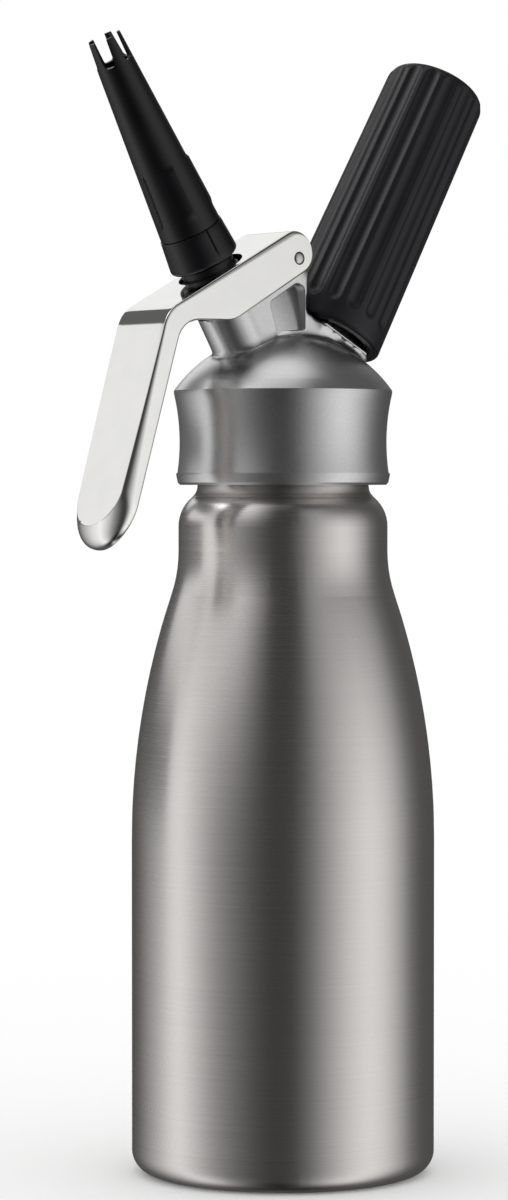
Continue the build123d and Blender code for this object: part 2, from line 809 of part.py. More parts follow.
# Nozzle: a tapered tube with a band at its foot, grip ramps and a star of prongs at its tip
nozzle_screw = adapter_turned - adapter_pitch / 2
nozzle_ridge_v = adapter_ridge_v + adapter_pitch / 2
nozzle_thread = thread_ridge(
    VALVE, nozzle_ridge_v, nozzle_screw, adapter_pitch, nozzle_screw_bore, -adapter_ridge
)
grip_low_v = band_v + grip_start
grip_high_v = grip_low_v + grip_length
with BuildPart() as nozzle:
    add(
        turned(
            VALVE_SIDE,
            VALVE_AXIS,
            (0, nozzle_v),
            (nozzle_base_radius - nozzle_base_round, nozzle_v),
            (nozzle_base_radius, nozzle_v + nozzle_base_round),
            (nozzle_band_radius, band_v),
            (nozzle_radius(band_v), band_v),
            (nozzle_tip_radius, nozzle_tip_v),
            (0, nozzle_tip_v),
        )
    )
    for grip_v in (grip_low_v, grip_high_v):
        with BuildSketch(VALVE.offset(grip_v)):
            with BuildLine():
                grip_teeth(nozzle_radius(grip_v))
            make_face()
    loft(ruled=True)
    passage = turned(
        VALVE_SIDE,
        VALVE_AXIS,
        (0, nozzle_v),
        (nozzle_screw_bore, nozzle_v),
        (nozzle_screw_bore, nozzle_seat_v),
        (nozzle_passage, nozzle_seat_v),
        (nozzle_tip_radius - nozzle_tip_wall, nozzle_tip_v),
        (0, nozzle_tip_v),
    )
    add(passage, mode=Mode.SUBTRACT)
    add(nozzle_thread)
    slot_foot_v = nozzle_tip_v - prong_slot_depth + prong_slot_width / 2
    for prong in range(prong_count):
        facing = prong_turn + 360 * (prong + 0.5) / prong_count
        outward = VALVE.from_local_coords(Vector(1, 0, 0).rotate(Axis.Z, facing)) - VALVE.origin
        sideways = VALVE.from_local_coords(Vector(0, 1, 0).rotate(Axis.Z, facing)) - VALVE.origin
        with BuildSketch(Plane(origin=APEX, x_dir=sideways, z_dir=outward)):
            with Locations((0, slot_foot_v)):
                Circle(prong_slot_width / 2)
            with Locations((0, slot_foot_v + prong_slot_depth / 2)):
                Rectangle(prong_slot_width, prong_slot_depth)
        extrude(amount=2 * nozzle_base_radius, mode=Mode.SUBTRACT)

# Piercing body, needle and seal in the charger stub
insert_radius = charger_recess_radius - insert_gap
with BuildPart() as piercing_body:
    add(
        turned(
            CHARGER_SIDE,
            CHARGER_AXIS,
            (gas_passage, piercing_h),
            (insert_radius, piercing_h),
            (insert_radius, charger_seal_h),
            (needle_radius + insert_gap, charger_seal_h),
            (needle_radius + insert_gap, charger_seal_h - needle_seat),
            (gas_passage, charger_seal_h - needle_seat),
        )
    )
needle_h = charger_seal_h - needle_seat
with BuildPart() as piercing_needle:
    add(
        turned(
            CHARGER_SIDE,
            CHARGER_AXIS,
            (needle_bore, needle_h),
            (needle_radius, needle_h),
            (needle_radius, needle_h + needle_length - needle_cone),
            (needle_bore + insert_gap, needle_h + needle_length),
            (needle_bore, needle_h + needle_length),
        )
    )
with BuildPart() as charger_seal:
    seal_top_h = charger_seal_h + charger_seal_thickness
    seal_section = ring_corners(charger_seal_bore, insert_radius, charger_seal_h, seal_top_h)
    add(turned(CHARGER_SIDE, CHARGER_AXIS, *seal_section))

# Check valve: a rubber disc whose stem sits in the gas way, and the ring that keeps it
check_disc_radius = check_radius - insert_gap
with BuildPart() as check_valve:
    add(
        turned(
            CHARGER_SIDE,
            CHARGER_AXIS,
            (0, check_h),
            (check_disc_radius, check_h),
            (check_disc_radius, check_floor_h),
            (check_stem_radius, check_floor_h),
            (check_stem_radius, piercing_h - insert_gap),
            (0, piercing_h - insert_gap),
        )
    )
with BuildPart() as check_retainer:
    with BuildSketch(CHARGER.offset(retainer_h)):
        Circle(check_disc_radius)
        with PolarLocations(retainer_hole_ring, retainer_hole_count):
            Circle(retainer_hole, mode=Mode.SUBTRACT)
    extrude(amount=retainer_thickness)

# Charger sleeve: the liner that holds the charger
with BuildPart() as charger_sleeve:
    sleeve_top_h = holder_cavity_h - sleeve_end_gap
    sleeve_section = ring_corners(sleeve_bore, sleeve_radius, sleeve_h, sleeve_top_h)
    add(turned(CHARGER_SIDE, CHARGER_AXIS, *sleeve_section))

# Charger holder: a fluted cap that screws on the stub
holder_screw = stub_screw - stub_pitch / 2
holder_ridge_h = stub_ridge_h + stub_pitch / 2
holder_thread = thread_ridge(CHARGER, holder_ridge_h, holder_screw, stub_pitch, holder_bore, -stub_ridge)
holder_length = holder_top_h - holder_h
flute_taper = atan2(holder_foot_radius - holder_top_radius, holder_length)
with BuildPart() as charger_holder:
    with BuildSketch(CHARGER_SIDE):
        with BuildLine():
            FilletPolyline(
                (0, holder_h),
                (holder_foot_radius, holder_h),
                (holder_top_radius, holder_top_h),
                (0, holder_top_h),
                radius=[0, holder_foot_round, holder_top_round, 0],
                close=True,
            )
        make_face()
    revolve(axis=CHARGER_AXIS)
    for flute in range(flute_count):
        facing = 360 * flute / flute_count
        outward = CHARGER.from_local_coords(Vector(1, 0, 0).rotate(Axis.Z, facing)) - CHARGER.origin
        foot_h = holder_h + flute_start + flute_radius
        foot_out = holder_foot_radius - flute_depth + flute_radius - (foot_h - holder_h) * sin(flute_taper)
        foot_point = CHARGER.origin + CHARGER.z_dir * foot_h + outward * foot_out
        run = CHARGER.z_dir * cos(flute_taper) - outward * sin(flute_taper)
        with BuildSketch(Plane(origin=foot_point, z_dir=run)):
            Circle(flute_radius)
        extrude(amount=holder_length, mode=Mode.SUBTRACT)
        with Locations(foot_point):
            Sphere(flute_radius, mode=Mode.SUBTRACT)
    with BuildSketch(CHARGER.offset(holder_h)):
        Circle(holder_bore)
    extrude(amount=holder_cavity_h - holder_h, mode=Mode.SUBTRACT)
    add(holder_thread)

pieces = {
    "bottle": bottle,
    "head_gasket": head_gasket,
    "head_casting": head_casting,
    "pivot_pin": pivot_pin,
    "lever": lever,
    "valve_stem": valve_stem,
    "stem_o_ring": stem_o_ring,
    "valve_seal": valve_seal,
    "seal_washer": seal_washer,
    "seal_nut": seal_nut,
    "thrust_ring": thrust_ring,
    "valve_spring": valve_spring,
    "nozzle_adapter": nozzle_adapter,
    "nozzle_seal": nozzle_seal,
    "nozzle": nozzle,
    "piercing_body": piercing_body,
    "piercing_needle": piercing_needle,
    "charger_seal": charger_seal,
    "check_valve": check_valve,
    "check_retainer": check_retainer,
    "charger_sleeve": charger_sleeve,
    "charger_holder": charger_holder,
}

os.makedirs("parts", exist_ok=True)
for name, piece in pieces.items():
    piece.part.label = name
    export_step(piece.part, f"parts/{name}.step")
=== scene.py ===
"""Cream whipper: its dressed pieces and finishes, the studio around it and the camera."""

import logging
from collections.abc import Callable
from dataclasses import dataclass
from enum import Enum
from math import asin, atan2, cos, hypot, pi, radians, sin, sqrt, tan

import bmesh
import bpy
from bmesh.types import BMEdge, BMesh, BMFace, BMVert
from bpy.types import Material, Object
from mathutils import Matrix, Vector


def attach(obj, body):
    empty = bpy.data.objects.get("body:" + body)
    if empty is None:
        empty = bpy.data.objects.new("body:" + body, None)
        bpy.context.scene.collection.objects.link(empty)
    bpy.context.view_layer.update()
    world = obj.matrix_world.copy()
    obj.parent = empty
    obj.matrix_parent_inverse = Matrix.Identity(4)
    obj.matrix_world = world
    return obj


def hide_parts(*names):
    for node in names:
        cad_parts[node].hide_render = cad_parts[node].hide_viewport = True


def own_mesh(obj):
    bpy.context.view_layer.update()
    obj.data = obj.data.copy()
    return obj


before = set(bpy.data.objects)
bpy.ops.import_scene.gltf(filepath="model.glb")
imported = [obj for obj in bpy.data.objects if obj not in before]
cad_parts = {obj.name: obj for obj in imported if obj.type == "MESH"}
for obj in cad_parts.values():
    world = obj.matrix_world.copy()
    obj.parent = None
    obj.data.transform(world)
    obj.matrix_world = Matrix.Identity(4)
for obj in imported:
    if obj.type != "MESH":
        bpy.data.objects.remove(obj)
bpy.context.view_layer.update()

LOG = logging.getLogger("cream_whipper")
MM = 0.001
APEX = 195.033 * MM
CLOSE = 0.01
ROUND_STEPS = 6
Point = tuple[float, float]
Spot = tuple[float, float, float]
Colour = tuple[float, float, float]


class Tilt(Enum):
    """The head's two tilted axes, with the lean of each from the vertical in degrees."""

    VALVE = -30.0
    CHARGER = 29.4

    def frame(self) -> Matrix:
        """Work out the axis's own frame, with Z up the axis and X away from the bottle.

        Returns:
            The matrix from the axis's frame, in metres from the apex, to the part's frame.
        """
        lean = radians(self.value)
        side = 1 if lean > 0 else -1
        up = Vector((sin(lean), 0, cos(lean)))
        front = Vector((side * cos(lean), 0, -side * sin(lean)))
        turn = Matrix((front, up.cross(front), up)).transposed().to_4x4()
        return Matrix.Translation((0, 0, APEX)) @ turn

    def lean(self, bm: BMesh) -> None:
        """Move a shape from the axis's own frame to the part's."""
        bmesh.ops.transform(bm, matrix=self.frame(), verts=bm.verts)


class Signal:
    """An output socket of a shader tree, with operators that add Math nodes."""

    def __init__(self, paint: "Paint", socket: bpy.types.NodeSocket) -> None:
        """Wrap a socket of a paint's tree."""
        self.paint = paint
        self.socket = socket

    def math(self, operation: str, *values: "Signal | float") -> "Signal":
        """Add one Math node.

        Args:
            operation: the node's operation.
            values: what feeds its sockets, in order.

        Returns:
            The node's result.
        """
        inputs = dict(enumerate(values))
        return self.paint.node("ShaderNodeMath", {"operation": operation}, inputs)

    def __add__(self, other: "Signal | float") -> "Signal":
        """Add."""
        return self.math("ADD", self, other)

    def __radd__(self, other: float) -> "Signal":
        """Add to a number."""
        return self.math("ADD", other, self)

    def __sub__(self, other: "Signal | float") -> "Signal":
        """Subtract."""
        return self.math("SUBTRACT", self, other)

    def __rsub__(self, other: float) -> "Signal":
        """Subtract from a number."""
        return self.math("SUBTRACT", other, self)

    def __mul__(self, other: "Signal | float") -> "Signal":
        """Multiply."""
        return self.math("MULTIPLY", self, other)

    def __rmul__(self, other: float) -> "Signal":
        """Multiply a number."""
        return self.math("MULTIPLY", other, self)

    def __truediv__(self, other: "Signal | float") -> "Signal":
        """Divide."""
        return self.math("DIVIDE", self, other)

    def blend(self, other: "Signal | float", share: "Signal") -> "Signal":
        """Go over to another value by a share from 0 to 1."""
        return self + (other - self) * share

    def smooth(self, low: float, high: float) -> "Signal":
        """Rise smoothly from 0 at one value to 1 at another."""
        inputs = {"Value": self, "From Min": low, "From Max": high}
        return self.paint.node("ShaderNodeMapRange", {"interpolation_type": "SMOOTHSTEP"}, inputs)


class Paint:
    """A material's shader tree, built from an empty one."""

    def __init__(self, name: str, tree: bpy.types.NodeTree | None = None) -> None:
        """Start a material, or take over the tree of the world."""
        if tree is None:
            self.material = bpy.data.materials.new(name)
            self.material.use_nodes = True
            tree = self.material.node_tree
        self.tree = tree
        self.tree.nodes.clear()

    def node(
        self,
        kind: str,
        settings: dict[str, object] | None = None,
        inputs: dict[str | int, object] | None = None,
        output: str | int = 0,
    ) -> Signal:
        """Add a node.

        Args:
            kind: the node's type.
            settings: properties set before its sockets, and the stops of a ramp.
            inputs: values or signals by the name or number of a socket.
            output: the socket that is handed back.

        Returns:
            One of the node's outputs.
        """
        made = self.tree.nodes.new(kind)
        for key, value in (settings or {}).items():
            if key == "stops":
                self.set_stops(made.color_ramp, value)
            else:
                setattr(made, key, value)
        for key, value in (inputs or {}).items():
            socket = made.inputs[key]
            if isinstance(value, Signal):
                self.tree.links.new(value.socket, socket)
            else:
                socket.default_value = value
        return Signal(self, made.outputs[output])

    @staticmethod
    def set_stops(ramp: bpy.types.ColorRamp, stops: list[tuple[float, float]]) -> None:
        """Give a ramp its stops, as positions and grey levels."""
        while len(ramp.elements) < len(stops):
            ramp.elements.new(1.0)
        for element, (position, level) in zip(ramp.elements, stops):
            element.position = position
            element.color = (level, level, level, 1.0)

    def place(self, scale: Colour = (1.0, 1.0, 1.0), turn: Colour = (0.0, 0.0, 0.0)) -> Signal:
        """Give the object's coordinates, stretched along its axes and turned."""
        coordinates = self.node("ShaderNodeTexCoord", output="Object")
        inputs = {"Vector": coordinates, "Scale": scale, "Rotation": turn}
        return self.node("ShaderNodeMapping", {"vector_type": "POINT"}, inputs)

    def noise(self, place: Signal, scale: float, detail: float = 2.0) -> Signal:
        """Add a noise texture from 0 to 1."""
        inputs = {"Vector": place, "Scale": scale, "Detail": detail, "Roughness": 0.55}
        return self.node("ShaderNodeTexNoise", {"noise_dimensions": "3D"}, inputs)

    def mix(self, factor: Signal, low: Colour, high: Colour) -> Signal:
        """Blend two colours."""
        settings = {"data_type": "RGBA", "clamp_factor": True}
        inputs = {"Factor": factor, 6: (*low, 1.0), 7: (*high, 1.0)}
        return self.node("ShaderNodeMix", settings, inputs, 2)

    def ramp(self, value: Signal, low: float, high: float, stops: tuple[Point, ...]) -> Signal:
        """Read a level off a ramp whose stops are given on the value's own scale."""
        spread = high - low
        share = (value - low) / spread
        marks = [((mark - low) / spread, level) for mark, level in stops]
        return self.node("ShaderNodeValToRGB", {"stops": marks}, {"Fac": share})

    def bump(self, height: Signal, strength: float, distance: float) -> Signal:
        """Turn a height into a normal."""
        inputs = {"Height": height, "Strength": strength, "Distance": distance}
        return self.node("ShaderNodeBump", None, inputs)

    def surface(self, inputs: dict[str | int, object]) -> Material:
        """End the tree in one Principled shader.

        Args:
            inputs: the shader's values or signals by socket.

        Returns:
            The finished material.
        """
        self.close(self.node("ShaderNodeBsdfPrincipled", None, inputs))
        return self.material

    def close(self, shader: Signal, kind: str = "ShaderNodeOutputMaterial") -> None:
        """Lead a shader to the tree's output."""
        end = self.tree.nodes.new(kind)
        self.tree.links.new(shader.socket, end.inputs["Surface"])


@dataclass(frozen=True)
class BrushedSteel:
    """Drawn stainless steel with a fine brushing round the Z axis."""

    name: str
    light: Colour = (0.77, 0.742, 0.72)
    dark: Colour = (0.715, 0.69, 0.672)
    roughness: float = 0.27
    anisotropy: float = 0.55

    def material(self) -> Material:
        """Make the finish: brush lines in the tone, the roughness and the relief."""
        paint = Paint(self.name)
        lines = paint.noise(paint.place((14.0, 14.0, 3800.0)), 1.0, 3.0)
        clouds = paint.noise(paint.place((1.0, 1.0, 1.6)), 38.0, 3.0)
        tone = (lines * 0.7 + clouds * 0.3).smooth(0.25, 0.75)
        rough = self.roughness - 0.03 + lines * 0.06
        return paint.surface(
            {
                "Base Color": paint.mix(tone, self.dark, self.light),
                "Metallic": 1.0,
                "Roughness": rough,
                "Anisotropic": self.anisotropy,
                "Anisotropic Rotation": 0.25,
                "Normal": paint.bump(lines, 0.06, 0.00002),
            }
        )


@dataclass(frozen=True)
class BlastedMetal:
    """Cast metal with a fine blasted grain."""

    name: str
    light: Colour = (0.785, 0.783, 0.785)
    dark: Colour = (0.69, 0.69, 0.697)
    roughness: float = 0.30
    grain: float = 1700.0

    def material(self) -> Material:
        """Make the finish: a speckled tone with grain and soft clouds in the relief."""
        paint = Paint(self.name)
        place = paint.place()
        grain = paint.noise(place, self.grain, 2.0)
        clouds = paint.noise(place, 60.0, 4.0)
        tone = (grain * 0.55 + clouds * 0.45).smooth(0.3, 0.7)
        return paint.surface(
            {
                "Base Color": paint.mix(tone, self.dark, self.light),
                "Metallic": 1.0,
                "Roughness": self.roughness - 0.06 + grain * 0.06 + clouds * 0.06,
                "Normal": paint.bump(grain, 0.16, 0.00003),
            }
        )


@dataclass(frozen=True)
class PolishedMetal:
    """Polished casting with faint hand-polishing waves and hair lines."""

    name: str
    light: Colour = (0.90, 0.893, 0.875)
    dark: Colour = (0.87, 0.865, 0.85)
    roughness: float = 0.07

    def material(self) -> Material:
        """Make the finish: hair lines in the roughness over slow waves in the relief."""
        paint = Paint(self.name)
        hairs = paint.noise(paint.place((90.0, 2600.0, 90.0)), 1.0, 2.0)
        place = paint.place()
        waves = paint.noise(place, 45.0, 1.0)
        clouds = paint.noise(place, 140.0, 4.0)
        rough = self.roughness - 0.03 + hairs * 0.03 + clouds * 0.03
        return paint.surface(
            {
                "Base Color": paint.mix(clouds.smooth(0.3, 0.7), self.dark, self.light),
                "Metallic": 1.0,
                "Roughness": rough,
                "Normal": paint.bump(waves * 0.9 + hairs * 0.1, 0.02, 0.0003),
            }
        )


@dataclass(frozen=True)
class TurnedMetal:
    """Small turned metal parts with tool marks across one of the tilted axes."""

    name: str
    light: Colour
    dark: Colour
    roughness: float = 0.26
    turn: float = 0.0

    def material(self) -> Material:
        """Make the finish: fine rings along the part's own axis."""
        paint = Paint(self.name)
        place = paint.place((60.0, 60.0, 5200.0), (0.0, radians(self.turn), 0.0))
        rings = paint.noise(place, 1.0, 1.0)
        clouds = paint.noise(paint.place(), 220.0, 3.0)
        return paint.surface(
            {
                "Base Color": paint.mix(clouds.smooth(0.25, 0.75), self.dark, self.light),
                "Metallic": 1.0,
                "Roughness": self.roughness - 0.05 + rings * 0.08 + clouds * 0.04,
                "Normal": paint.bump(rings, 0.1, 0.00002),
            }
        )


@dataclass(frozen=True)
class MouldedPlastic:
    """Moulded plastic or rubber with a fine grain and faint flow clouds."""

    name: str
    light: Colour
    dark: Colour
    roughness: float = 0.4
    grain: float = 2600.0
    relief: float = 0.12
    gloss: float = 0.5

    def material(self) -> Material:
        """Make the finish: grain in the relief and clouds in tone and roughness."""
        paint = Paint(self.name)
        place = paint.place()
        grain = paint.noise(place, self.grain, 2.0)
        clouds = paint.noise(place, 90.0, 4.0)
        return paint.surface(
            {
                "Base Color": paint.mix(clouds.smooth(0.3, 0.7), self.dark, self.light),
                "Roughness": self.roughness - 0.08 + clouds * 0.1 + grain * 0.06,
                "Specular IOR Level": self.gloss,
                "Normal": paint.bump(grain, self.relief, 0.00004),
            }
        )


class Finishes:
    """Every finish of the part, made once and handed out by slot."""

    def __init__(self) -> None:
        """Make the materials."""
        black = ((0.0018, 0.0018, 0.0042), (0.0010, 0.0010, 0.0024))
        holder_black = ((0.0042, 0.0046, 0.0092), (0.0028, 0.0031, 0.0064))
        rubber = ((0.022, 0.022, 0.022), (0.014, 0.014, 0.014))
        silicone = ((0.62, 0.60, 0.55), (0.54, 0.52, 0.48))
        steel = ((0.72, 0.71, 0.70), (0.60, 0.595, 0.59))
        brass = ((0.80, 0.60, 0.30), (0.70, 0.50, 0.24))
        drawn = ((0.80, 0.80, 0.81), (0.70, 0.70, 0.71))
        valve = -Tilt.VALVE.value
        charger = -Tilt.CHARGER.value
        self.by_slot: dict[str, Material] = {}
        for slot, finish in (
            ("bottle_steel", BrushedSteel("brushed_bottle_steel")),
            ("head_metal", BlastedMetal("blasted_head_metal")),
            ("lever_metal", PolishedMetal("polished_lever_metal")),
            ("pin_steel", TurnedMetal("turned_pin_steel", *steel)),
            ("valve_steel", TurnedMetal("turned_valve_steel", *steel, turn=valve)),
            ("spring_steel", TurnedMetal("drawn_spring_steel", *steel, 0.22)),
            ("needle_steel", TurnedMetal("ground_needle_steel", *steel, 0.18, charger)),
            ("piercing_brass", TurnedMetal("turned_brass", *brass, 0.25, charger)),
            ("retainer_metal", TurnedMetal("turned_retainer", *steel, 0.3, charger)),
            ("sleeve_metal", TurnedMetal("drawn_sleeve", *drawn, 0.3, charger)),
            ("seal_rubber", MouldedPlastic("seal_rubber_black", *rubber, 0.62)),
            ("gasket_rubber", MouldedPlastic("gasket_silicone", *silicone, 0.55)),
            ("adapter_plastic", MouldedPlastic("adapter_black", *black, 0.34)),
            ("nozzle_plastic", MouldedPlastic("nozzle_black", *black, 0.31)),
            ("holder_plastic", MouldedPlastic("holder_black", *holder_black, 0.42, relief=0.2)),
        ):
            self.by_slot[slot] = finish.material()

    def dress_nodes(self) -> None:
        """Give every node that is still shown the finish of its slot."""
        for name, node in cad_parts.items():
            for index, old in enumerate(node.data.materials):
                slot = old.name.split(".")[0]
                node.data.materials[index] = self.by_slot[slot]
            LOG.info("node %s dressed", name)


def stand_up(bm: BMesh, name: str) -> Object:
    """Turn a bmesh, which is used up, into an object of the scene."""
    mesh = bpy.data.meshes.new(name)
    bm.to_mesh(mesh)
    bm.free()
    made = bpy.data.objects.new(name, mesh)
    bpy.context.scene.collection.objects.link(made)
    return made


@dataclass(frozen=True)
class Piece:
    """What a new piece is called, which node it stands for, what it rides on and its finish."""

    name: str
    node: str
    body: str
    slot: str
    crease: float = 35.0

    def settle(self, bm: BMesh, finishes: Finishes) -> Object:
        """Turn a bmesh into the finished object, in the part's frame.

        Args:
            bm: the shape, which is used up.
            finishes: where the piece's material comes from.

        Returns:
            The object, riding on its body.
        """
        made = stand_up(bm, self.name)
        mesh = made.data
        inherited = mesh.attributes.get("custom_normal")
        if inherited is not None:
            mesh.attributes.remove(inherited)
        mesh.shade_smooth()
        mesh.set_sharp_from_angle(angle=radians(self.crease))
        mesh.materials.append(finishes.by_slot[self.slot])
        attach(made, self.body)
        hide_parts(self.node)
        LOG.info("piece %s rides on %s", self.name, self.body)
        return made


def rolled(columns: int, rows: int, place: Callable[[int, int], Vector]) -> BMesh:
    """Roll a flat grid into a skin that closes on itself.

    Args:
        columns: cells round the skin.
        rows: cells along it.
        place: gives the point of a column and a row.

    Returns:
        The skin, with its seam and its poles welded.
    """
    bm = bmesh.new()
    bmesh.ops.create_grid(bm, x_segments=columns, y_segments=rows, size=0.5)
    for vert in bm.verts:
        column = round((vert.co.x + 0.5) * columns)
        row = round((vert.co.y + 0.5) * rows)
        vert.co = place(column % columns, row)
    bmesh.ops.remove_doubles(bm, verts=bm.verts, dist=1e-7)
    bmesh.ops.recalc_face_normals(bm, faces=bm.faces)
    return bm


def turned(
    section: list[Point],
    columns: int,
    shape: Callable[[int, float, float, float], float] | None = None,
    start: float = 0.0,
    closed: bool = False,
) -> BMesh:
    """Turn a section about the Z axis.

    Args:
        section: radii and heights in mm.
        columns: cells round the axis.
        shape: gives the radius of a row at an angle in degrees, from its plain radius and height.
        start: the first column's angle.
        closed: whether the section's end joins its start.

    Returns:
        The turned shape.
    """

    def place(column: int, row: int) -> Vector:
        """Point of the skin."""
        radius, height = section[row % len(section)]
        angle = start + 360 * column / columns
        if shape is not None:
            radius = shape(row, angle, radius, height)
        spin = radians(angle)
        return Vector((radius * cos(spin), radius * sin(spin), height)) * MM

    return rolled(columns, len(section) if closed else len(section) - 1, place)


def block(place: Callable[[float, float, float], Spot]) -> BMesh:
    """Shape a block whose corners are placed in mm from the signs of their sides."""
    bm = bmesh.new()
    bmesh.ops.create_cube(bm, size=2.0)
    for vert in bm.verts:
        vert.co = Vector(place(*vert.co)) * MM
    return bm


def rod(radius: float, length: float, segments: int) -> BMesh:
    """Shape a round rod along Z about the middle of the frame, in mm."""
    bm = bmesh.new()
    ends = {"radius1": radius * MM, "radius2": radius * MM}
    bmesh.ops.create_cone(bm, cap_ends=True, segments=segments, depth=length * MM, **ends)
    return bm


def round_edges(bm: BMesh, edges: list[BMEdge], radius: float, steps: int) -> None:
    """Round edges of a shape by a radius in mm."""
    bmesh.ops.bevel(
        bm,
        geom=edges,
        offset=radius * MM,
        offset_type="OFFSET",
        affect="EDGES",
        segments=steps,
        profile=0.5,
        material=-1,
    )


def split(bm: BMesh, spot: Vector, facing: Vector, **clear: bool) -> None:
    """Cut through a shape's faces at a plane, and drop a side where that is asked for."""
    every = bm.verts[:] + bm.edges[:] + bm.faces[:]
    bmesh.ops.bisect_plane(bm, geom=every, plane_co=spot, plane_no=facing, **clear)


def cap(bm: BMesh) -> None:
    """Close a shape's open ends."""
    bmesh.ops.holes_fill(bm, edges=[edge for edge in bm.edges if edge.is_boundary], sides=0)
    bmesh.ops.recalc_face_normals(bm, faces=bm.faces)


def join(bm: BMesh, other: BMesh) -> None:
    """Add one shape to another as a shell of its own."""
    mesh = bpy.data.meshes.new("joined")
    other.to_mesh(mesh)
    other.free()
    bm.from_mesh(mesh)
    bpy.data.meshes.remove(mesh)


def reworked(
    shapes: list[BMesh], add: Callable[[Object, list[Object]], None]
) -> BMesh:
    """Run a shape through modifiers.

    Args:
        shapes: the shape and those that its modifiers use, all of which are used up.
        add: gives the first object its modifiers, which may use the others.

    Returns:
        What comes out.
    """
    objects = [stand_up(shape, f"rework_{number}") for number, shape in enumerate(shapes)]
    add(objects[0], objects[1:])
    view = bpy.context.evaluated_depsgraph_get()
    result = bmesh.new()
    result.from_mesh(objects[0].evaluated_get(view).data)
    for made in objects:
        mesh = made.data
        bpy.data.objects.remove(made)
        bpy.data.meshes.remove(mesh)
    return result


def carve(
    bm: BMesh, tools: list[BMesh], operation: str = "DIFFERENCE"
) -> BMesh:
    """Cut closed shapes out of a closed shape.

    Args:
        bm: the shape that is cut, which is used up.
        tools: the shapes that are taken away, which are used up.
        operation: INTERSECT keeps what is inside a tool instead.

    Returns:
        What is left.
    """

    def add(blank: Object, others: list[Object]) -> None:
        """Add a cut for each tool."""
        for tool in others:
            cut = blank.modifiers.new("cut", "BOOLEAN")
            cut.operation = operation
            cut.solver = "EXACT"
            cut.object = tool

    for shape in (bm, *tools):
        bmesh.ops.recalc_face_normals(shape, faces=shape.faces)
    return reworked([bm, *tools], add)


def fillet_path(corners: list[Point], radii: list[float], steps: list[int]) -> list[list[Point]]:
    """Round the inner corners of an open line.

    Args:
        corners: the line's corners, ends included.
        radii: a radius for each inner corner.
        steps: how many steps each arc gets.

    Returns:
        The points of each arc, in order along the line.
    """
    arcs = []
    for before, corner, after, radius, count in zip(corners, corners[1:], corners[2:], radii, steps):
        here = Vector(corner)
        come = (here - Vector(before)).normalized()
        go = (Vector(after) - here).normalized()
        half = come.angle(go) / 2
        start = here - come * radius * tan(half)
        side = 1 if come.x * go.y - come.y * go.x > 0 else -1
        centre = start + Vector((-come.y, come.x)) * radius * side
        spoke = start - centre
        arc = []
        for step in range(count + 1):
            turn = 2 * half * side * step / count
            arc.append(
                (
                    centre.x + spoke.x * cos(turn) - spoke.y * sin(turn),
                    centre.y + spoke.x * sin(turn) + spoke.y * cos(turn),
                )
            )
        arcs.append(arc)
    return arcs


def between(start: Point, end: Point, steps: int) -> list[Point]:
    """Divide a straight run, leaving out both of its ends."""
    shares = [step / steps for step in range(1, steps)]
    return [(start[0] + (end[0] - start[0]) * s, start[1] + (end[1] - start[1]) * s) for s in shares]


def clamped(value: float) -> float:
    """Keep a share between 0 and 1."""
    return min(1.0, max(0.0, value))


def eased(value: float) -> float:
    """Let a share start and end level."""
    share = clamped(value)
    return share * share * (3 - 2 * share)


def rounded(centre: Point, reach: Point, start: float, end: float, steps: int) -> list[Point]:
    """Follow a round from one angle to another in degrees, both ends included."""
    turns = [radians(start + (end - start) * step / steps) for step in range(steps + 1)]
    return [(centre[0] + reach[0] * cos(turn), centre[1] + reach[1] * sin(turn)) for turn in turns]


@dataclass(frozen=True)
class Station:
    """One section of the lever: outer and inner point and how far along the handle it is."""

    outer: Vector
    inner: Vector
    along: float


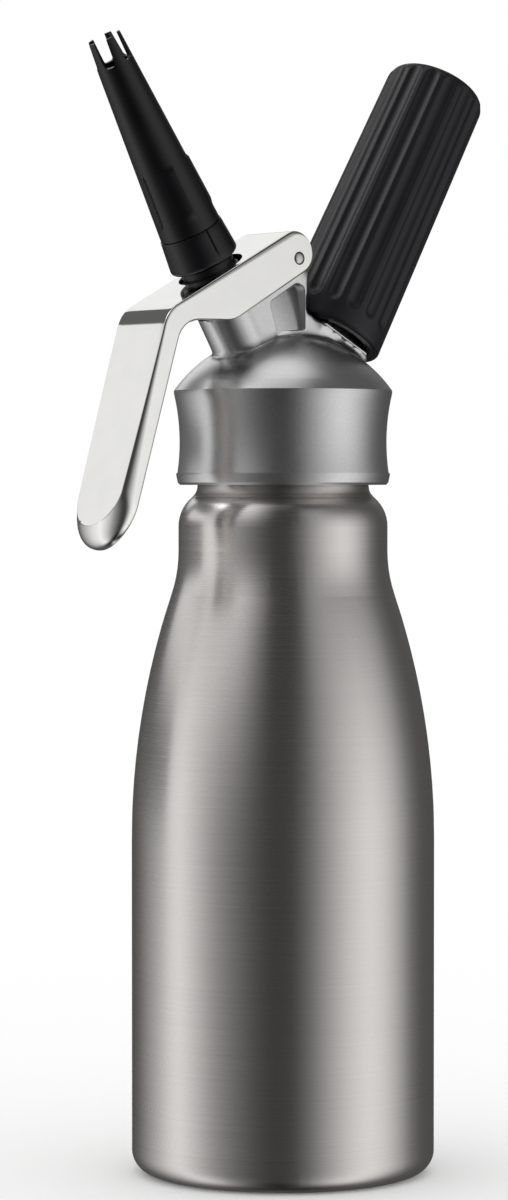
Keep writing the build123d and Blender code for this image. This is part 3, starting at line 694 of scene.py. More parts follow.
@dataclass(frozen=True)
class LeverHandle:
    """Polished lever: two cheeks, a plate with a slot, a bend and a tongue-ended handle, in mm."""

    half_width: float = 10.5
    plate_top: float = 48.99
    plate_slope: float = 0.02793
    plate_wall: float = 2.5
    cheek_low: float = 36.99
    cheek_front: float = 6.0
    cheek_inner: float = 8.6
    rear: float = 25.6
    rear_round: float = 4.9
    bend: float = 23.6
    bend_round: float = 9.0
    inner_round: float = 7.0
    edge_round: float = 9.0
    handle_turn: float = 46.6
    handle_length: float = 62.2
    handle_wall: float = 5.5
    tongue_round: float = 10.2
    face_tip: float = 57.2
    face_round: float = 8.6
    rim: float = 1.2
    rear_rim: float = 2.7
    nose_rim: float = 5.3
    rim_turn: float = 49.0
    rim_soft: float = 0.16
    cheek_rise: float = 30.0
    tip_drop: float = 4.5
    nose_skew: float = -0.2
    skew_start: float = 38.0
    inner_rim: float = 0.8
    face_steps: int = 12
    rim_steps: int = 12
    wall_steps: int = 6
    run_steps: int = 6
    edge_steps: int = 4
    rear_steps: int = 8
    bend_steps: int = 14
    face_stops: int = 20
    tip_stops: int = 24
    nose_stops: int = 18
    bend_fade: float = 4.0
    rim_power: float = 1.5
    rim_shares: Point = (0.9, 0.6)
    edge_break: float = 0.25
    break_steps: int = 3
    break_turn: float = 60.0
    channel_front: float = 14.0
    channel_room: float = 12.0
    channel_round: float = 0.9
    channel_steps: int = 4
    slot_radius: float = 8.5
    slot_room: float = 20.0
    slot_columns: int = 96
    bar_columns: int = 40
    slot_shift: float = 1.2
    slot_low: float = 43.99
    pivot: Point = (-20.5, 41.09)
    pin_hole: float = 1.72
    lug_radius: float = 1.2
    lug_up: float = 45.29
    lug_reach: float = 2.2
    lug_root: float = 0.9

    @property
    def face_start(self) -> float:
        """Where the rounded end of the outer face starts along the handle."""
        return self.face_tip - self.face_round

    @property
    def tongue_start(self) -> float:
        """Where the rounded end of the lever starts along the handle."""
        return self.handle_length - self.tongue_round

    def top(self, forward: float) -> float:
        """Height of the plate's top at a distance forward of the valve axis."""
        return self.plate_top + forward * self.plate_slope

    def run(self) -> Vector:
        """Direction of the handle, from the bend to the nose."""
        turn = radians(self.handle_turn)
        return Vector((sin(turn), -cos(turn)))

    def skew(self, along: float) -> float:
        """How far a section of the nose slants, for each mm across it."""
        return self.nose_skew * eased((along - self.skew_start) / (self.face_tip - self.skew_start))

    def stations(self) -> list[Station]:
        """List the sections along the lever, from the rear end to the nose."""
        run = self.run()
        inward = Vector((run.y, -run.x))
        corner = Vector((self.bend, self.top(self.bend)))
        nose = corner + run * self.handle_length
        nose_inner = nose + inward * self.handle_wall
        level = tan(radians(self.cheek_rise))
        fall = run.y / run.x
        reach = nose_inner.y - self.cheek_low + self.cheek_front * level - nose_inner.x * fall
        inner_x = reach / (level - fall)
        inner = (inner_x, self.cheek_low + (inner_x - self.cheek_front) * level)
        middle = (self.top(-self.rear) + self.cheek_low) / 2
        outer_arcs = fillet_path(
            [(-self.rear, middle), (-self.rear, self.top(-self.rear)), tuple(corner), tuple(nose)],
            [self.rear_round, self.bend_round],
            [self.rear_steps, self.bend_steps],
        )
        inner_arcs = fillet_path(
            [
                (-self.rear, middle),
                (-self.rear, self.cheek_low),
                (self.cheek_front, self.cheek_low),
                inner,
                tuple(nose_inner),
            ],
            [self.rear_round, self.edge_round, self.inner_round],
            [self.rear_steps, self.edge_steps, self.bend_steps],
        )
        ease = self.edge_round * tan(radians(self.cheek_rise / 2))
        edge, edge_end = ((x, self.top(x)) for x in (self.cheek_front - ease, self.cheek_front + ease))
        runs = self.run_steps
        rear, bend = outer_arcs
        outer = [*rear, *between(rear[-1], edge, runs), edge]
        outer += [*between(edge, edge_end, self.edge_steps), edge_end]
        outer += [*between(edge_end, bend[0], runs), *bend]
        rear, front, bend = inner_arcs
        under = [*rear, *between(rear[-1], front[0], runs), *front]
        under += [*between(front[-1], bend[0], runs), *bend]
        rows = [Station(Vector(o), Vector(i), min(0.0, o[0] - self.bend)) for o, i in zip(outer, under)]
        first = (Vector(outer[-1]) - corner).length
        start = Vector(under[-1]) - (corner + run * first + inward * self.handle_wall)
        for along in self.handle_stops(first):
            share = (along - first) / (self.tongue_start - first)
            out = corner + run * along
            settle = max(0.0, 1 - share * self.bend_fade)
            rows.append(Station(out, out + inward * self.handle_wall + start * settle**2, along))
        return rows

    @staticmethod
    def shares(steps: int) -> list[float]:
        """Divide 1 into even steps, without the start."""
        return [step / steps for step in range(1, steps + 1)]

    def handle_stops(self, first: float) -> list[float]:
        """Distances along the handle, closer together round the two tongues."""
        face = self.face_start
        stops = [first + (face - first) * share for share in self.shares(self.face_stops)]
        stops += [face + self.face_round * sin(pi / 2 * share) for share in self.shares(self.tip_stops)]
        start = asin((self.face_tip - self.tongue_start) / self.tongue_round)
        angles = [start + (pi / 2 - start) * share for share in self.shares(self.nose_stops)]
        return stops + [self.tongue_start + self.tongue_round * sin(angle) for angle in angles]

    def half(self, along: float) -> float:
        """Half the width at a distance along the handle."""
        past = max(0.0, along - self.tongue_start)
        arc = sqrt(max(0.0, self.tongue_round**2 - past**2))
        return self.half_width - self.tongue_round + arc

    def rim_radius(self, along: float) -> float:
        """Radius of the rounded outer edge at a distance along the handle, or back from the bend."""
        if along < 0:
            length = self.bend + self.rear
            fade = min(1.0, (along + length) / self.rear_round)
            return self.rim - (self.rear_rim - self.rim) * along / length * fade
        share = clamped(along / self.face_start)
        return self.rim + (self.nose_rim - self.rim) * share**self.rim_power

    def face_half(self, along: float) -> float:
        """Half the width of the flat outer face at a distance along the handle."""
        flat = self.half_width - self.rim_radius(along) * (1 - sin(radians(self.rim_turn)))
        share = max(0.0, along - self.face_start) / self.face_round
        return flat * sqrt(max(0.0, 1 - share**2))

    def outline_reach(self, facing: float) -> float:
        """Distance from the face's tongue centre to the lever's outline.

        Args:
            facing: the direction, from 0 across the lever to a right angle at its tip.

        Returns:
            The distance in mm.
        """
        back = self.tongue_start - self.face_start
        straight = self.half_width / max(cos(facing), 1e-6)
        if straight * sin(facing) <= back:
            return straight
        side = self.half_width - self.tongue_round
        half = back * sin(facing) + side * cos(facing)
        return half + sqrt(half**2 - back**2 - side**2 + self.tongue_round**2)

    def roll_off(self, along: float, across: float) -> float:
        """Depth of the rounded outer edge at a point of the outer face."""
        radius = self.rim_radius(along)
        start = radians(self.rim_turn)
        ahead = along - self.face_start
        drop = radius * cos(start)
        if ahead <= 0:
            inner = self.face_half(along)
            share = (abs(across) - inner) / (self.half_width - inner)
        else:
            facing = atan2(ahead, abs(across))
            flat = self.half_width - radius * (1 - sin(start))
            inner = 1 / hypot(cos(facing) / flat, sin(facing) / self.face_round)
            share = (hypot(ahead, across) - inner) / (self.outline_reach(facing) - inner)
            drop += (self.tip_drop - drop) * sin(facing) ** 2
        if share < -1e-6:
            return 0.0
        lean = sin(start) + (1 - sin(start)) * clamped(share)
        soft = self.rim_soft * tan(start / 2)
        return soft + (drop - soft) * (1 - sqrt(max(0.0, 1 - lean**2)) / cos(start))

    def section(self, depth: float, along: float) -> list[Point]:
        """Points round a section, as distance across and share of the depth."""
        width = self.half(along)
        flat = min(width, self.face_half(along))
        low = sin(radians(self.rim_turn))
        left = radians(90 - self.rim_turn) / self.rim_steps
        leans = [cos(left * (self.rim_steps - step)) for step in range(self.rim_steps + 1)]
        rims = [flat + (width - flat) * (lean - low) / (1 - low) for lean in leans]
        inner = max(0.0, flat - self.rim_soft)
        face = [inner * (2 * step / self.face_steps - 1) for step in range(self.face_steps + 1)]
        top = [-across for across in reversed(rims)] + face + rims
        ring = [(across, self.roll_off(along, across) / depth) for across in top]
        edge = self.roll_off(along, width)
        wide, deep = self.rim_shares
        radius = min(self.inner_rim, width * wide, (depth - edge) * deep)
        flank = between((width, edge), (width, depth - radius), self.wall_steps)
        flank += rounded((width - radius, depth - radius), (radius, radius), 0.0, 90.0, ROUND_STEPS)
        side = [(across, down / depth) for across, down in flank]
        return ring + side + [(-across, share) for across, share in reversed(side)]

    def body(self) -> BMesh:
        """Roll the lever's skin and close its two ends."""
        rings = []
        for row in self.stations():
            depth = row.inner - row.outer
            slip = self.run() * self.skew(row.along)
            points = []
            for across, share in self.section(depth.length, row.along):
                spot = row.outer + depth * share + slip * across
                points.append(Vector((spot.x, across, spot.y)) * MM)
            rings.append(points)
        bm = rolled(len(rings[0]), len(rings) - 1, lambda column, row: rings[row][column])
        cap(bm)
        return bm

    def channel(self) -> BMesh:
        """Shape the hollow between the cheeks."""
        low = self.cheek_low - self.channel_room

        def place(x: float, y: float, z: float) -> Spot:
            """Corner of the hollow, which is open to the rear and below."""
            forward = self.channel_front if x > 0 else -2 * self.rear
            return forward, self.cheek_inner * y, low if z < 0 else self.top(forward) - self.plate_wall

        bm = block(place)
        round_edges(bm, bm.edges[:], self.channel_round, self.channel_steps)
        return bm

    def slot(self) -> BMesh:
        """Shape the slot over the valve."""
        bm = rod(self.slot_radius, self.slot_room, self.slot_columns)
        rear_half = [vert for vert in bm.verts if vert.co.x < 0]
        bmesh.ops.translate(bm, verts=rear_half, vec=(-self.slot_shift * MM, 0, 0))
        bmesh.ops.translate(bm, verts=bm.verts, vec=(0, 0, (self.slot_low + self.slot_room / 2) * MM))
        return bm

    def bar(self, radius: float, spot: Point, start: float, end: float) -> BMesh:
        """Shape a round bar that lies across the lever."""
        bm = rod(radius, end - start, self.bar_columns)
        bmesh.ops.rotate(bm, verts=bm.verts, cent=(0, 0, 0), matrix=Matrix.Rotation(pi / 2, 3, "X"))
        middle = Vector((spot[0], (start + end) / 2, spot[1])) * MM
        bmesh.ops.translate(bm, verts=bm.verts, vec=middle)
        return bm

    def build(self, finishes: Finishes) -> None:
        """Make the lever and hand it to its body."""
        pin = self.bar(self.pin_hole, self.pivot, -2 * self.half_width, 2 * self.half_width)
        bm = carve(self.body(), [self.channel(), self.slot(), pin])
        for side in (-1, 1):
            ends = sorted(side * (self.cheek_inner + out) for out in (-self.lug_reach, self.lug_root))
            join(bm, self.bar(self.lug_radius, (0.0, self.lug_up), *ends))
        Tilt.VALVE.lean(bm)
        piece = Piece("polished_lever", "lever", "lever", "lever_metal", 32.0)
        made = piece.settle(bm, finishes)
        soften = made.modifiers.new("edge_break", "BEVEL")
        soften.width = self.edge_break * MM
        soften.segments = self.break_steps
        soften.limit_method = "ANGLE"
        soften.angle_limit = radians(self.break_turn)
        soften.use_clamp_overlap = True
        even = made.modifiers.new("even_faces", "WEIGHTED_NORMAL")
        even.keep_sharp = True


@dataclass(frozen=True)
class Screw:
    """A screw's ridge in mm, with half its foot and its slope as shares of the pitch."""

    low: float
    length: float
    pitch: float
    rise: float
    foot: float = 0.23
    slope: float = 0.11

    def ridge(self, angle: float, height: float) -> float:
        """Height of the ridge at an angle about the axis and a height along it."""
        if not self.low < height < self.low + self.length:
            return 0.0
        turn = ((height - self.low) / self.pitch - angle / 360) % 1.0
        return self.rise * clamped((self.foot - abs(turn - 0.5)) / self.slope)


@dataclass(frozen=True)
class NozzleTip:
    """Black decorator nozzle: band, grip ramps, tapered tube and a crown of prongs, in mm."""

    low: float = 51.49
    seat: float = 61.04
    band: float = 60.99
    tip: float = 115.99
    base_radius: float = 9.3
    base_round: float = 1.2
    band_radius: float = 8.5
    band_edge: tuple[Point, ...] = ((0.0, -0.25), (-0.06, -0.1))
    step: float = 0.25
    groove: tuple[Point, ...] = ((-0.3, -0.02), (-0.3, 0.04), (0.0, 0.14), (-0.02, 0.3))
    tube_low: float = 0.2
    tip_radius: float = 4.5
    tip_wall: float = 0.9
    tip_edge: float = 0.15
    passage: float = 4.7
    bore: float = 5.9
    bore_edge: float = 0.4
    ramp_rise: float = 0.62
    ramp_dip: float = 0.1
    ramp_flat: float = 0.2
    grip_start: float = 3.4
    grip_length: float = 15.2
    grip_fade: float = 2.4
    grip_end: float = 0.7
    grip_turn: float = 4.0
    seam_turn: float = 81.0
    seam_half: float = 0.35
    seam_depth: float = 0.22
    teeth: int = 5
    screw: Screw = Screw(53.99, 4.0, 2.0, 0.6)
    prongs: int = 5
    slot_width: float = 3.6
    slot_flare: Point = (0.82, 1.06)
    slot_reach: Point = (0.5, 12.0)
    slot_depth: float = 7.1
    slot_room: float = 2.0
    slot_round: float = 0.9
    slot_steps: int = 5
    columns: int = 360
    passage_rows: int = 10
    bore_rows: int = 36
    band_rows: int = 6
    tube_rows: int = 110

    def profile(self) -> list[Point]:
        """Section from the tip's inner edge down the passage and back up the outside."""
        foot = self.band_radius - self.step
        points = [(self.tip_radius - self.tip_wall, self.tip)]
        points += between(points[0], (self.passage, self.seat + CLOSE), self.passage_rows)
        points += [(self.passage, self.seat), (self.bore, self.seat)]
        mouth = (self.bore, self.low + self.bore_edge)
        points += between(points[-1], mouth, self.bore_rows)
        points += [mouth, (self.bore + self.bore_edge, self.low)]
        centre = (self.base_radius - self.base_round, self.low + self.base_round)
        points += rounded(centre, (self.base_round, self.base_round), -90.0, 0.0, ROUND_STEPS)
        edge = [(self.band_radius + out, self.band + up) for out, up in self.band_edge]
        points += [*between(points[-1], edge[0], self.band_rows), *edge]
        points += [(foot + out, self.band + up) for out, up in self.groove]
        points += between((foot, points[-1][1]), (self.tip_radius, self.tip), self.tube_rows)
        points += [(self.tip_radius, self.tip - self.tip_edge)]
        return points + [(self.tip_radius - self.tip_edge, self.tip)]

    def ramp(self, angle: float) -> float:
        """Height of the grip's ramps at an angle about the nozzle."""
        share = (angle - self.grip_turn) / 360 * self.teeth % 1.0
        return self.ramp_rise * max(0.0, share * share - self.ramp_dip * share - self.ramp_flat)

    def grip(self, height: float) -> float:
        """How much of the grip stands at a height: a short slope on top, a long one below."""
        start = self.band + self.grip_start
        above = clamped((start + self.grip_length - height) / self.grip_end)
        return eased((height - start) / self.grip_fade) * above

    def seam(self, angle: float) -> float:
        """Depth of the mould's parting line down the band."""
        off = abs((angle - self.seam_turn + 180) % 360 - 180) * pi / 180 * self.band_radius
        return self.seam_depth * max(0.0, 1.0 - off / self.seam_half)

    def prong_slot(self, facing: float) -> BMesh:
        """Shape one slot between two prongs."""
        floor = self.tip - self.slot_depth

        def place(x: float, y: float, z: float) -> Spot:
            """Corner of the slot, which is a little wider on top."""
            wide = self.slot_width / 2 * self.slot_flare[z > 0]
            return self.slot_reach[x > 0], wide * y, self.tip + self.slot_room if z > 0 else floor

        bm = block(place)
        feet = [e for e in bm.edges if all(v.co.z < (floor + 1) * MM for v in e.verts)]
        feet = [e for e in feet if abs(e.verts[0].co.x - e.verts[1].co.x) > MM]
        round_edges(bm, feet, self.slot_round, self.slot_steps)
        turn = Matrix.Rotation(radians(facing), 3, "Z")
        bmesh.ops.rotate(bm, verts=bm.verts, cent=(0, 0, 0), matrix=turn)
        return bm

    def build(self, finishes: Finishes) -> None:
        """Make the nozzle and hand it to its body."""
        profile = self.profile()
        inner = next(row for row, point in enumerate(profile) if point[0] > self.bore)

        def shape(row: int, angle: float, radius: float, height: float) -> float:
            """Radius with the thread inside, and the ramps and the seam outside."""
            if row < inner:
                return radius - self.screw.ridge(angle, height)
            if height > self.band + self.tube_low:
                return radius + self.ramp(angle) * self.grip(height)
            if height > self.low + self.base_round:
                return radius - self.seam(angle)
            return radius

        bm = turned(profile, self.columns, shape, self.grip_turn, closed=True)
        pitch = 360 / self.prongs
        bm = carve(bm, [self.prong_slot(pitch * (number + 0.5)) for number in range(self.prongs)])
        Tilt.VALVE.lean(bm)
        Piece("decorator_nozzle", "nozzle", "nozzle", "nozzle_plastic", 38.0).settle(bm, finishes)


@dataclass(frozen=True)
class ScrewAdapter:
    """Black adapter under the nozzle: boss, flange, filleted collar and screw, in mm."""

    low: float = 43.99
    boss_radius: float = 6.0
    flange: float = 46.89
    flange_radius: float = 8.0
    flange_top: float = 48.25
    collar_low: float = 49.35
    collar_radius: float = 7.2
    collar_top: float = 51.2
    core: float = 4.9
    top: float = 59.79
    bore: float = 2.4
    socket: float = 4.05
    socket_top: float = 52.0
    edge: float = 0.2
    flange_edge: float = 0.06
    collar_edge: tuple[Point, ...] = ((0.0, -0.3), (-0.09, -0.09), (-0.3, 0.0))
    end_edge: float = 0.5
    screw: Screw = Screw(52.99, 5.0, 2.0, 0.6)
    columns: int = 144
    rows: int = 60

    def profile(self) -> list[Point]:
        """Section from the socket's lower edge round the outside, over the top and down the bore."""
        edge = self.edge
        wide = self.flange_radius
        points = [(self.socket, self.low + edge), (self.socket + edge, self.low)]
        points += [(self.boss_radius - edge, self.low), (self.boss_radius, self.low + edge)]
        points += [(self.boss_radius, self.flange), (wide - edge, self.flange)]
        points += [(wide, self.flange + edge), (wide, self.flange_top - edge)]
        points += [(wide - self.flange_edge, self.flange_top - self.flange_edge)]
        reach = (wide - edge - self.collar_radius, self.collar_low - self.flange_top)
        points += rounded((wide - edge, self.collar_low), reach, -90.0, -180.0, ROUND_STEPS)
        points += [(self.collar_radius + out, self.collar_top + up) for out, up in self.collar_edge]
        foot = (self.core, self.collar_top)
        end = (self.core, self.top - self.end_edge)
        points += [foot, *between(foot, end, self.rows), end, (self.core - self.end_edge, self.top)]
        points += [(self.bore + edge, self.top), (self.bore, self.top - edge)]
        points += [(self.bore, self.socket_top), (self.socket, self.socket_top)]
        return points

    def build(self, finishes: Finishes) -> None:
        """Make the adapter and hand it to its body."""

        def shape(_row: int, angle: float, radius: float, height: float) -> float:
            """Radius with the thread outside."""
            return radius + self.screw.ridge(angle, height) if radius == self.core else radius

        bm = turned(self.profile(), self.columns, shape, closed=True)
        Tilt.VALVE.lean(bm)
        piece = Piece("nozzle_screw_adapter", "nozzle_adapter", "valve", "adapter_plastic", 40.0)
        piece.settle(bm, finishes)


@dataclass(frozen=True)
class RivetPin:
    """Pivot pin of the lever with a low domed end on each side, in mm."""

    pivot: Point = (-2.790, 240.866)
    radius: float = 1.5
    reach: float = 10.6
    end: tuple[Point, ...] = ((0.0, -0.5), (-0.22, -0.3), (-0.22, -0.15))
    dome: Point = (1.4, 0.35)
    dome_back: float = 0.05
    dome_steps: int = 7
    columns: int = 48

    def profile(self) -> list[Point]:
        """Half section of one end, from the shaft to the dome's middle."""
        points = [(self.radius, 0.0)]
        points += [(self.radius + out, self.reach + along) for out, along in self.end]
        middle = (0.0, self.reach - self.dome_back)
        return points + rounded(middle, self.dome, 0.0, 90.0, self.dome_steps)[1:]

    def build(self, finishes: Finishes) -> None:
        """Make the pin and hand it to its body."""
        half = self.profile()
        section = [(out, -along) for out, along in reversed(half)] + half[1:]
        bm = turned(section, self.columns)
        across, up = self.pivot
        lie = Matrix.Translation(Vector((across, 0, up)) * MM) @ Matrix.Rotation(pi / 2, 4, "X")
        bmesh.ops.transform(bm, matrix=lie, verts=bm.verts)
        Piece("riveted_pivot_pin", "pivot_pin", "head", "pin_steel", 40.0).settle(bm, finishes)


@dataclass(frozen=True)
class ValveSpring:
    """Open coil round the valve stem, in mm, built at one fixed length; the real one shortens as the
    stem goes in.
    """

    low: float = 31.083
    high: float = 41.936
    radius: float = 5.1
    wire: float = 0.5
    turns: int = 5
    close_up: float = 0.05
    keep: float = 0.768
    sides: int = 14
    steps: int = 32

    def build(self, finishes: Finishes) -> None:
        """Make the spring and hand it to its body."""
        rows = self.turns * self.steps
        rise = self.high - self.low - 2 * self.wire

        def place(column: int, row: int) -> Vector:
            """Point of the wire's skin, with the end turns closer together."""
            share = row / rows
            spin = 2 * pi * self.turns * share
            height = self.low + self.wire + rise * (share - self.close_up * sin(2 * pi * share))
            round_wire = 2 * pi * column / self.sides
            out = self.radius + self.wire * cos(round_wire)
            up = height + self.wire * sin(round_wire)
            return Vector((out * cos(spin), out * sin(spin), up)) * MM

        bm = rolled(self.sides, rows, place)
        cap(bm)
        Tilt.VALVE.lean(bm)
        piece = Piece("coiled_valve_spring", "valve_spring", "head", "spring_steel", 50.0)
        spring = piece.settle(bm, finishes)
        foot = Tilt.VALVE.frame() @ Vector((0, 0, self.low * MM))
        up = Tilt.VALVE.frame().to_3x3() @ Vector((0, 0, 1))
        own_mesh(spring)


@dataclass(frozen=True)
class ChargerHolder:
    """Fluted black charger holder with its screwed bore, in mm."""

    low: float = 30.05
    top: float = 109.25
    cavity: float = 105.25
    cavity_edge: float = 1.0
    bore: float = 11.1
    rim_edge: float = 0.5
    thread_room: float = 12.0
    foot_radius: float = 14.6
    top_radius: float = 13.5
    foot_round: float = 1.2
    top_round: float = 4.0
    top_rings: tuple[float, ...] = (0.6, 0.3, 0.0)
    flutes: int = 16
    flute_radius: float = 2.6
    flute_depth: float = 0.8
    flute_start: float = 4.6
    flute_soft: float = 0.10
    flute_trim: float = 0.015
    screw: Screw = Screw(33.85, 6.8, 3.0, 0.8)
    columns: int = 256
    bore_rows: int = 8
    thread_rows: int = 46
    rows: int = 120
    top_steps: int = 14

    def taper(self, height: float) -> float:
        """Radius of the plain taper at a height."""
        share = (height - self.low) / (self.top - self.low)
        return self.foot_radius + (self.top_radius - self.foot_radius) * share

    def profile(self) -> list[Point]:
        """Section from the cavity's end down the bore, round the rim and up to the top's middle."""
        points = [(0.0, self.cavity), (self.bore - self.cavity_edge, self.cavity)]
        points += [(self.bore, self.cavity - self.cavity_edge)]
        thread_end = (self.bore, self.low + self.thread_room)
        mouth = (self.bore, self.low + self.rim_edge)
        points += between(points[-1], thread_end, self.bore_rows)
        points += between(thread_end, mouth, self.thread_rows)
        points += [mouth, (self.bore + self.rim_edge, self.low)]
        centre = (self.foot_radius - self.foot_round, self.low + self.foot_round)
        points += rounded(centre, (self.foot_round, self.foot_round), -90.0, 0.0, ROUND_STEPS)
        start = self.low + self.foot_round
        end = self.top - self.top_round
        for part in range(1, self.rows + 1):
            height = start + (end - start) * part / self.rows
            points.append((self.taper(height), height))
        middle = self.taper(end) - self.top_round
        points += rounded((middle, end), (self.top_round, self.top_round), 0.0, 90.0, self.top_steps)[1:]
        return points + [(middle * share, self.top) for share in self.top_rings]

    def flute(self, across: float, height: float) -> float:
        """Depth of a flute at a distance from its middle, with a ball-shaped lower end."""
        foot = self.low + self.flute_start + self.flute_radius
        below = max(0.0, foot - height)
        room = self.flute_radius**2 - across**2 - below**2
        if room <= 0:
            return 0.0
        depth = sqrt(room) - (self.flute_radius - self.flute_depth)
        return max(0.0, (depth + hypot(depth, self.flute_soft)) / 2 - self.flute_trim)

    def build(self, finishes: Finishes) -> None:
        """Make the holder and hand it to its body."""
        profile = self.profile()
        rim = next(row for row, point in enumerate(profile) if point[1] <= self.low)

        def shape(row: int, angle: float, radius: float, height: float) -> float:
            """Radius with the thread inside and the flutes outside."""
            if 0 < row < rim:
                return radius - self.screw.ridge(angle, height)
            if row <= rim:
                return radius
            pitch = 360 / self.flutes
            off = (angle + pitch / 2) % pitch - pitch / 2
            plain = self.taper(height)
            return min(radius, plain - self.flute(radians(off) * plain, height))

        bm = turned(profile, self.columns, shape)
        Tilt.CHARGER.lean(bm)
        piece = Piece("fluted_holder", "charger_holder", "charger_holder", "holder_plastic", 50.0)
        piece.settle(bm, finishes)


@dataclass(frozen=True)
class HeadCasting:
    """Cast head: a turned collar with its dome, and softly filleted column, web, ear and boss."""

    voxel: float = 0.42
    cut: float = 209.0
    lap: float = 0.6
    soften: int = 5
    fillet: int = 34
    hollow: float = 0.018
    grow: int = 4
    boss: float = 29.15
    stub_core: float = 9.9
    boss_radius: float = 12.3
    seat_radius: float = 14.2
    seat_room: float = 30.0
    seat_sink: float = 0.25
    seat_margin: float = 1.2
    seat_columns: int = 128
    gusset: tuple[Point, ...] = (
        (1.0, 212.0),
        (1.0, 228.0),
        (2.3, 227.25),
        (16.0, 219.5),
        (16.0, 212.0),
    )
    web_half: float = 7.9
    flat_foot: float = 4.0
    flat_low: float = 24.0
    flat_top: float = 33.0
    flat_flare: float = 0.19
    flat_reach: Point = (20.0, 16.0)
    relief_half: float = 7.4
    dome_radius: float = 35.0
    dome_middle: float = 186.645
    dome_cells: int = 6
    pocket: tuple[Point, ...] = ((-10.4, 229.3), (1.05, 236.1), (1.05, 222.5), (-7.9, 221.8))
    pocket_rounds: tuple[float, ...] = (1.2, 2.2, 0.7, 1.3)
    pocket_fill: tuple[Point, ...] = ((-10.9, 229.6), (1.6, 236.9), (1.6, 221.9), (-8.2, 221.3))
    pocket_facing: float = 40.0
    pocket_rim: float = 0.38
    pocket_near: float = 0.1
    pocket_room: float = 3.0
    pocket_steps: int = 7
    pocket_shallow: float = 0.5
    pocket_slope: float = 0.05
    pocket_curve: float = 0.011
    pocket_cells: float = 0.9
    pocket_turns: tuple[float, ...] = (25.0, 50.0, 75.0)

    def slab(self, outline: tuple[Point, ...], start: float, end: float) -> BMesh:
        """Raise an outline in the X-Z plane between two places along Y, all in mm."""
        bm = bmesh.new()
        corners = [bm.verts.new(Vector((x, start, z)) * MM) for x, z in outline]
        face = bm.faces.new(corners)
        raised = bmesh.ops.extrude_face_region(bm, geom=[face])["geom"]
        verts = [item for item in raised if isinstance(item, BMVert)]
        bmesh.ops.translate(bm, verts=verts, vec=(0, (end - start) * MM, 0))
        bmesh.ops.recalc_face_normals(bm, faces=bm.faces)
        return bm

    def depth(self, spot: Vector) -> float:
        """Depth of the web's pocket, which grows towards its upper rear corner."""
        turn = radians(self.pocket_facing)
        x, z = self.pocket[-1]
        run = max(0.0, (spot.x / MM - x) * cos(turn) + (spot.z / MM - z) * sin(turn))
        return self.pocket_shallow + self.pocket_slope * run + self.pocket_curve * run * run

    def pocket_tool(self, side: int) -> BMesh:
        """Shape what is taken out of one side of the web, with a floor that curves inwards."""
        floor = side * (self.web_half - self.pocket_rim)
        corners = [self.pocket[-1], *self.pocket, self.pocket[0]]
        steps = [self.pocket_steps] * len(self.pocket)
        arcs = fillet_path(corners, list(self.pocket_rounds), steps)
        outline = tuple(point for arc in arcs for point in arc)
        bm = self.slab(outline, floor, side * (self.web_half + self.pocket_room))
        self.flare_rim(bm, side)
        for along in (Vector((1, 0, 0)), Vector((0, 0, 1))):
            places = [vert.co.dot(along) for vert in bm.verts]
            cells = round((max(places) - min(places)) / (self.pocket_cells * MM))
            for cell in range(1, cells):
                split(bm, along * (min(places) + (max(places) - min(places)) * cell / cells), along)
        for vert in bm.verts:
            if abs(vert.co.y - floor * MM) < self.pocket_near * MM:
                vert.co.y -= side * (self.depth(vert.co) - self.pocket_rim) * MM
        return bm

    def flare_rim(self, bm: BMesh, side: int) -> None:
        """Widen a pocket's tool towards the web's face, so that its rim comes out rounded."""
        base = self.web_half - self.pocket_rim
        rises = [sin(radians(turn)) for turn in self.pocket_turns]
        across = Vector((0, 1, 0))
        for rise in rises:
            split(bm, across * side * (base + self.pocket_rim * rise) * MM, across)
        bm.normal_update()
        shifts = {}
        for vert in bm.verts:
            rise = min((abs(vert.co.y) / MM - base) / self.pocket_rim, rises[-1])
            outward = Vector((vert.normal.x, 0, vert.normal.z)).normalized()
            shifts[vert] = outward * self.pocket_rim * (1 - sqrt(1 - max(0.0, rise) ** 2)) * MM
        for vert, shift in shifts.items():
            vert.co += shift

    def cheek(self, side: int, foot: float, near: Callable[[float], float]) -> BMesh:
        """Shape a block at one side of the charger's axis.

        Args:
            side: 1 or -1.
            foot: where it starts along the axis, in mm.
            near: gives its distance from the axis at a height, in mm.

        Returns:
            The block.
        """
        along, out = self.flat_reach

        def place(x: float, y: float, z: float) -> Spot:
            """Corner of the block."""
            height = self.flat_top if z > 0 else foot
            return along * x, side * (out if y > 0 else near(height)), height

        bm = block(place)
        Tilt.CHARGER.lean(bm)
        return bm

    def flat_half(self, height: float) -> float:
        """Half the width between the boss's sides at a height along the charger's axis."""
        return self.web_half + self.flat_flare * (height - self.flat_low)

    def flank(self, side: int) -> BMesh:
        """Shape what is taken off one side of the boss, down to the dome."""
        dome = bmesh.new()
        bmesh.ops.create_icosphere(dome, subdivisions=self.dome_cells, radius=self.dome_radius * MM)
        bmesh.ops.translate(dome, verts=dome.verts, vec=(0, 0, self.dome_middle * MM))
        return carve(self.cheek(side, self.flat_foot, self.flat_half), [dome])

    def relief(self, side: int) -> BMesh:
        """Shape what is taken off one side of the stub's foot, behind the boss's side."""
        return self.cheek(side, self.boss, lambda _height: self.relief_half)

    def copy(self) -> BMesh:
        """Weld a copy of the node's triangles."""
        bm = bmesh.new()
        bm.from_mesh(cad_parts["head_casting"].data)
        bmesh.ops.remove_doubles(bm, verts=bm.verts, dist=1e-6)
        return bm

    def remeshed(self, bm: BMesh) -> BMesh:
        """Rebuild a copy with its gusset and without its pockets, in even faces."""

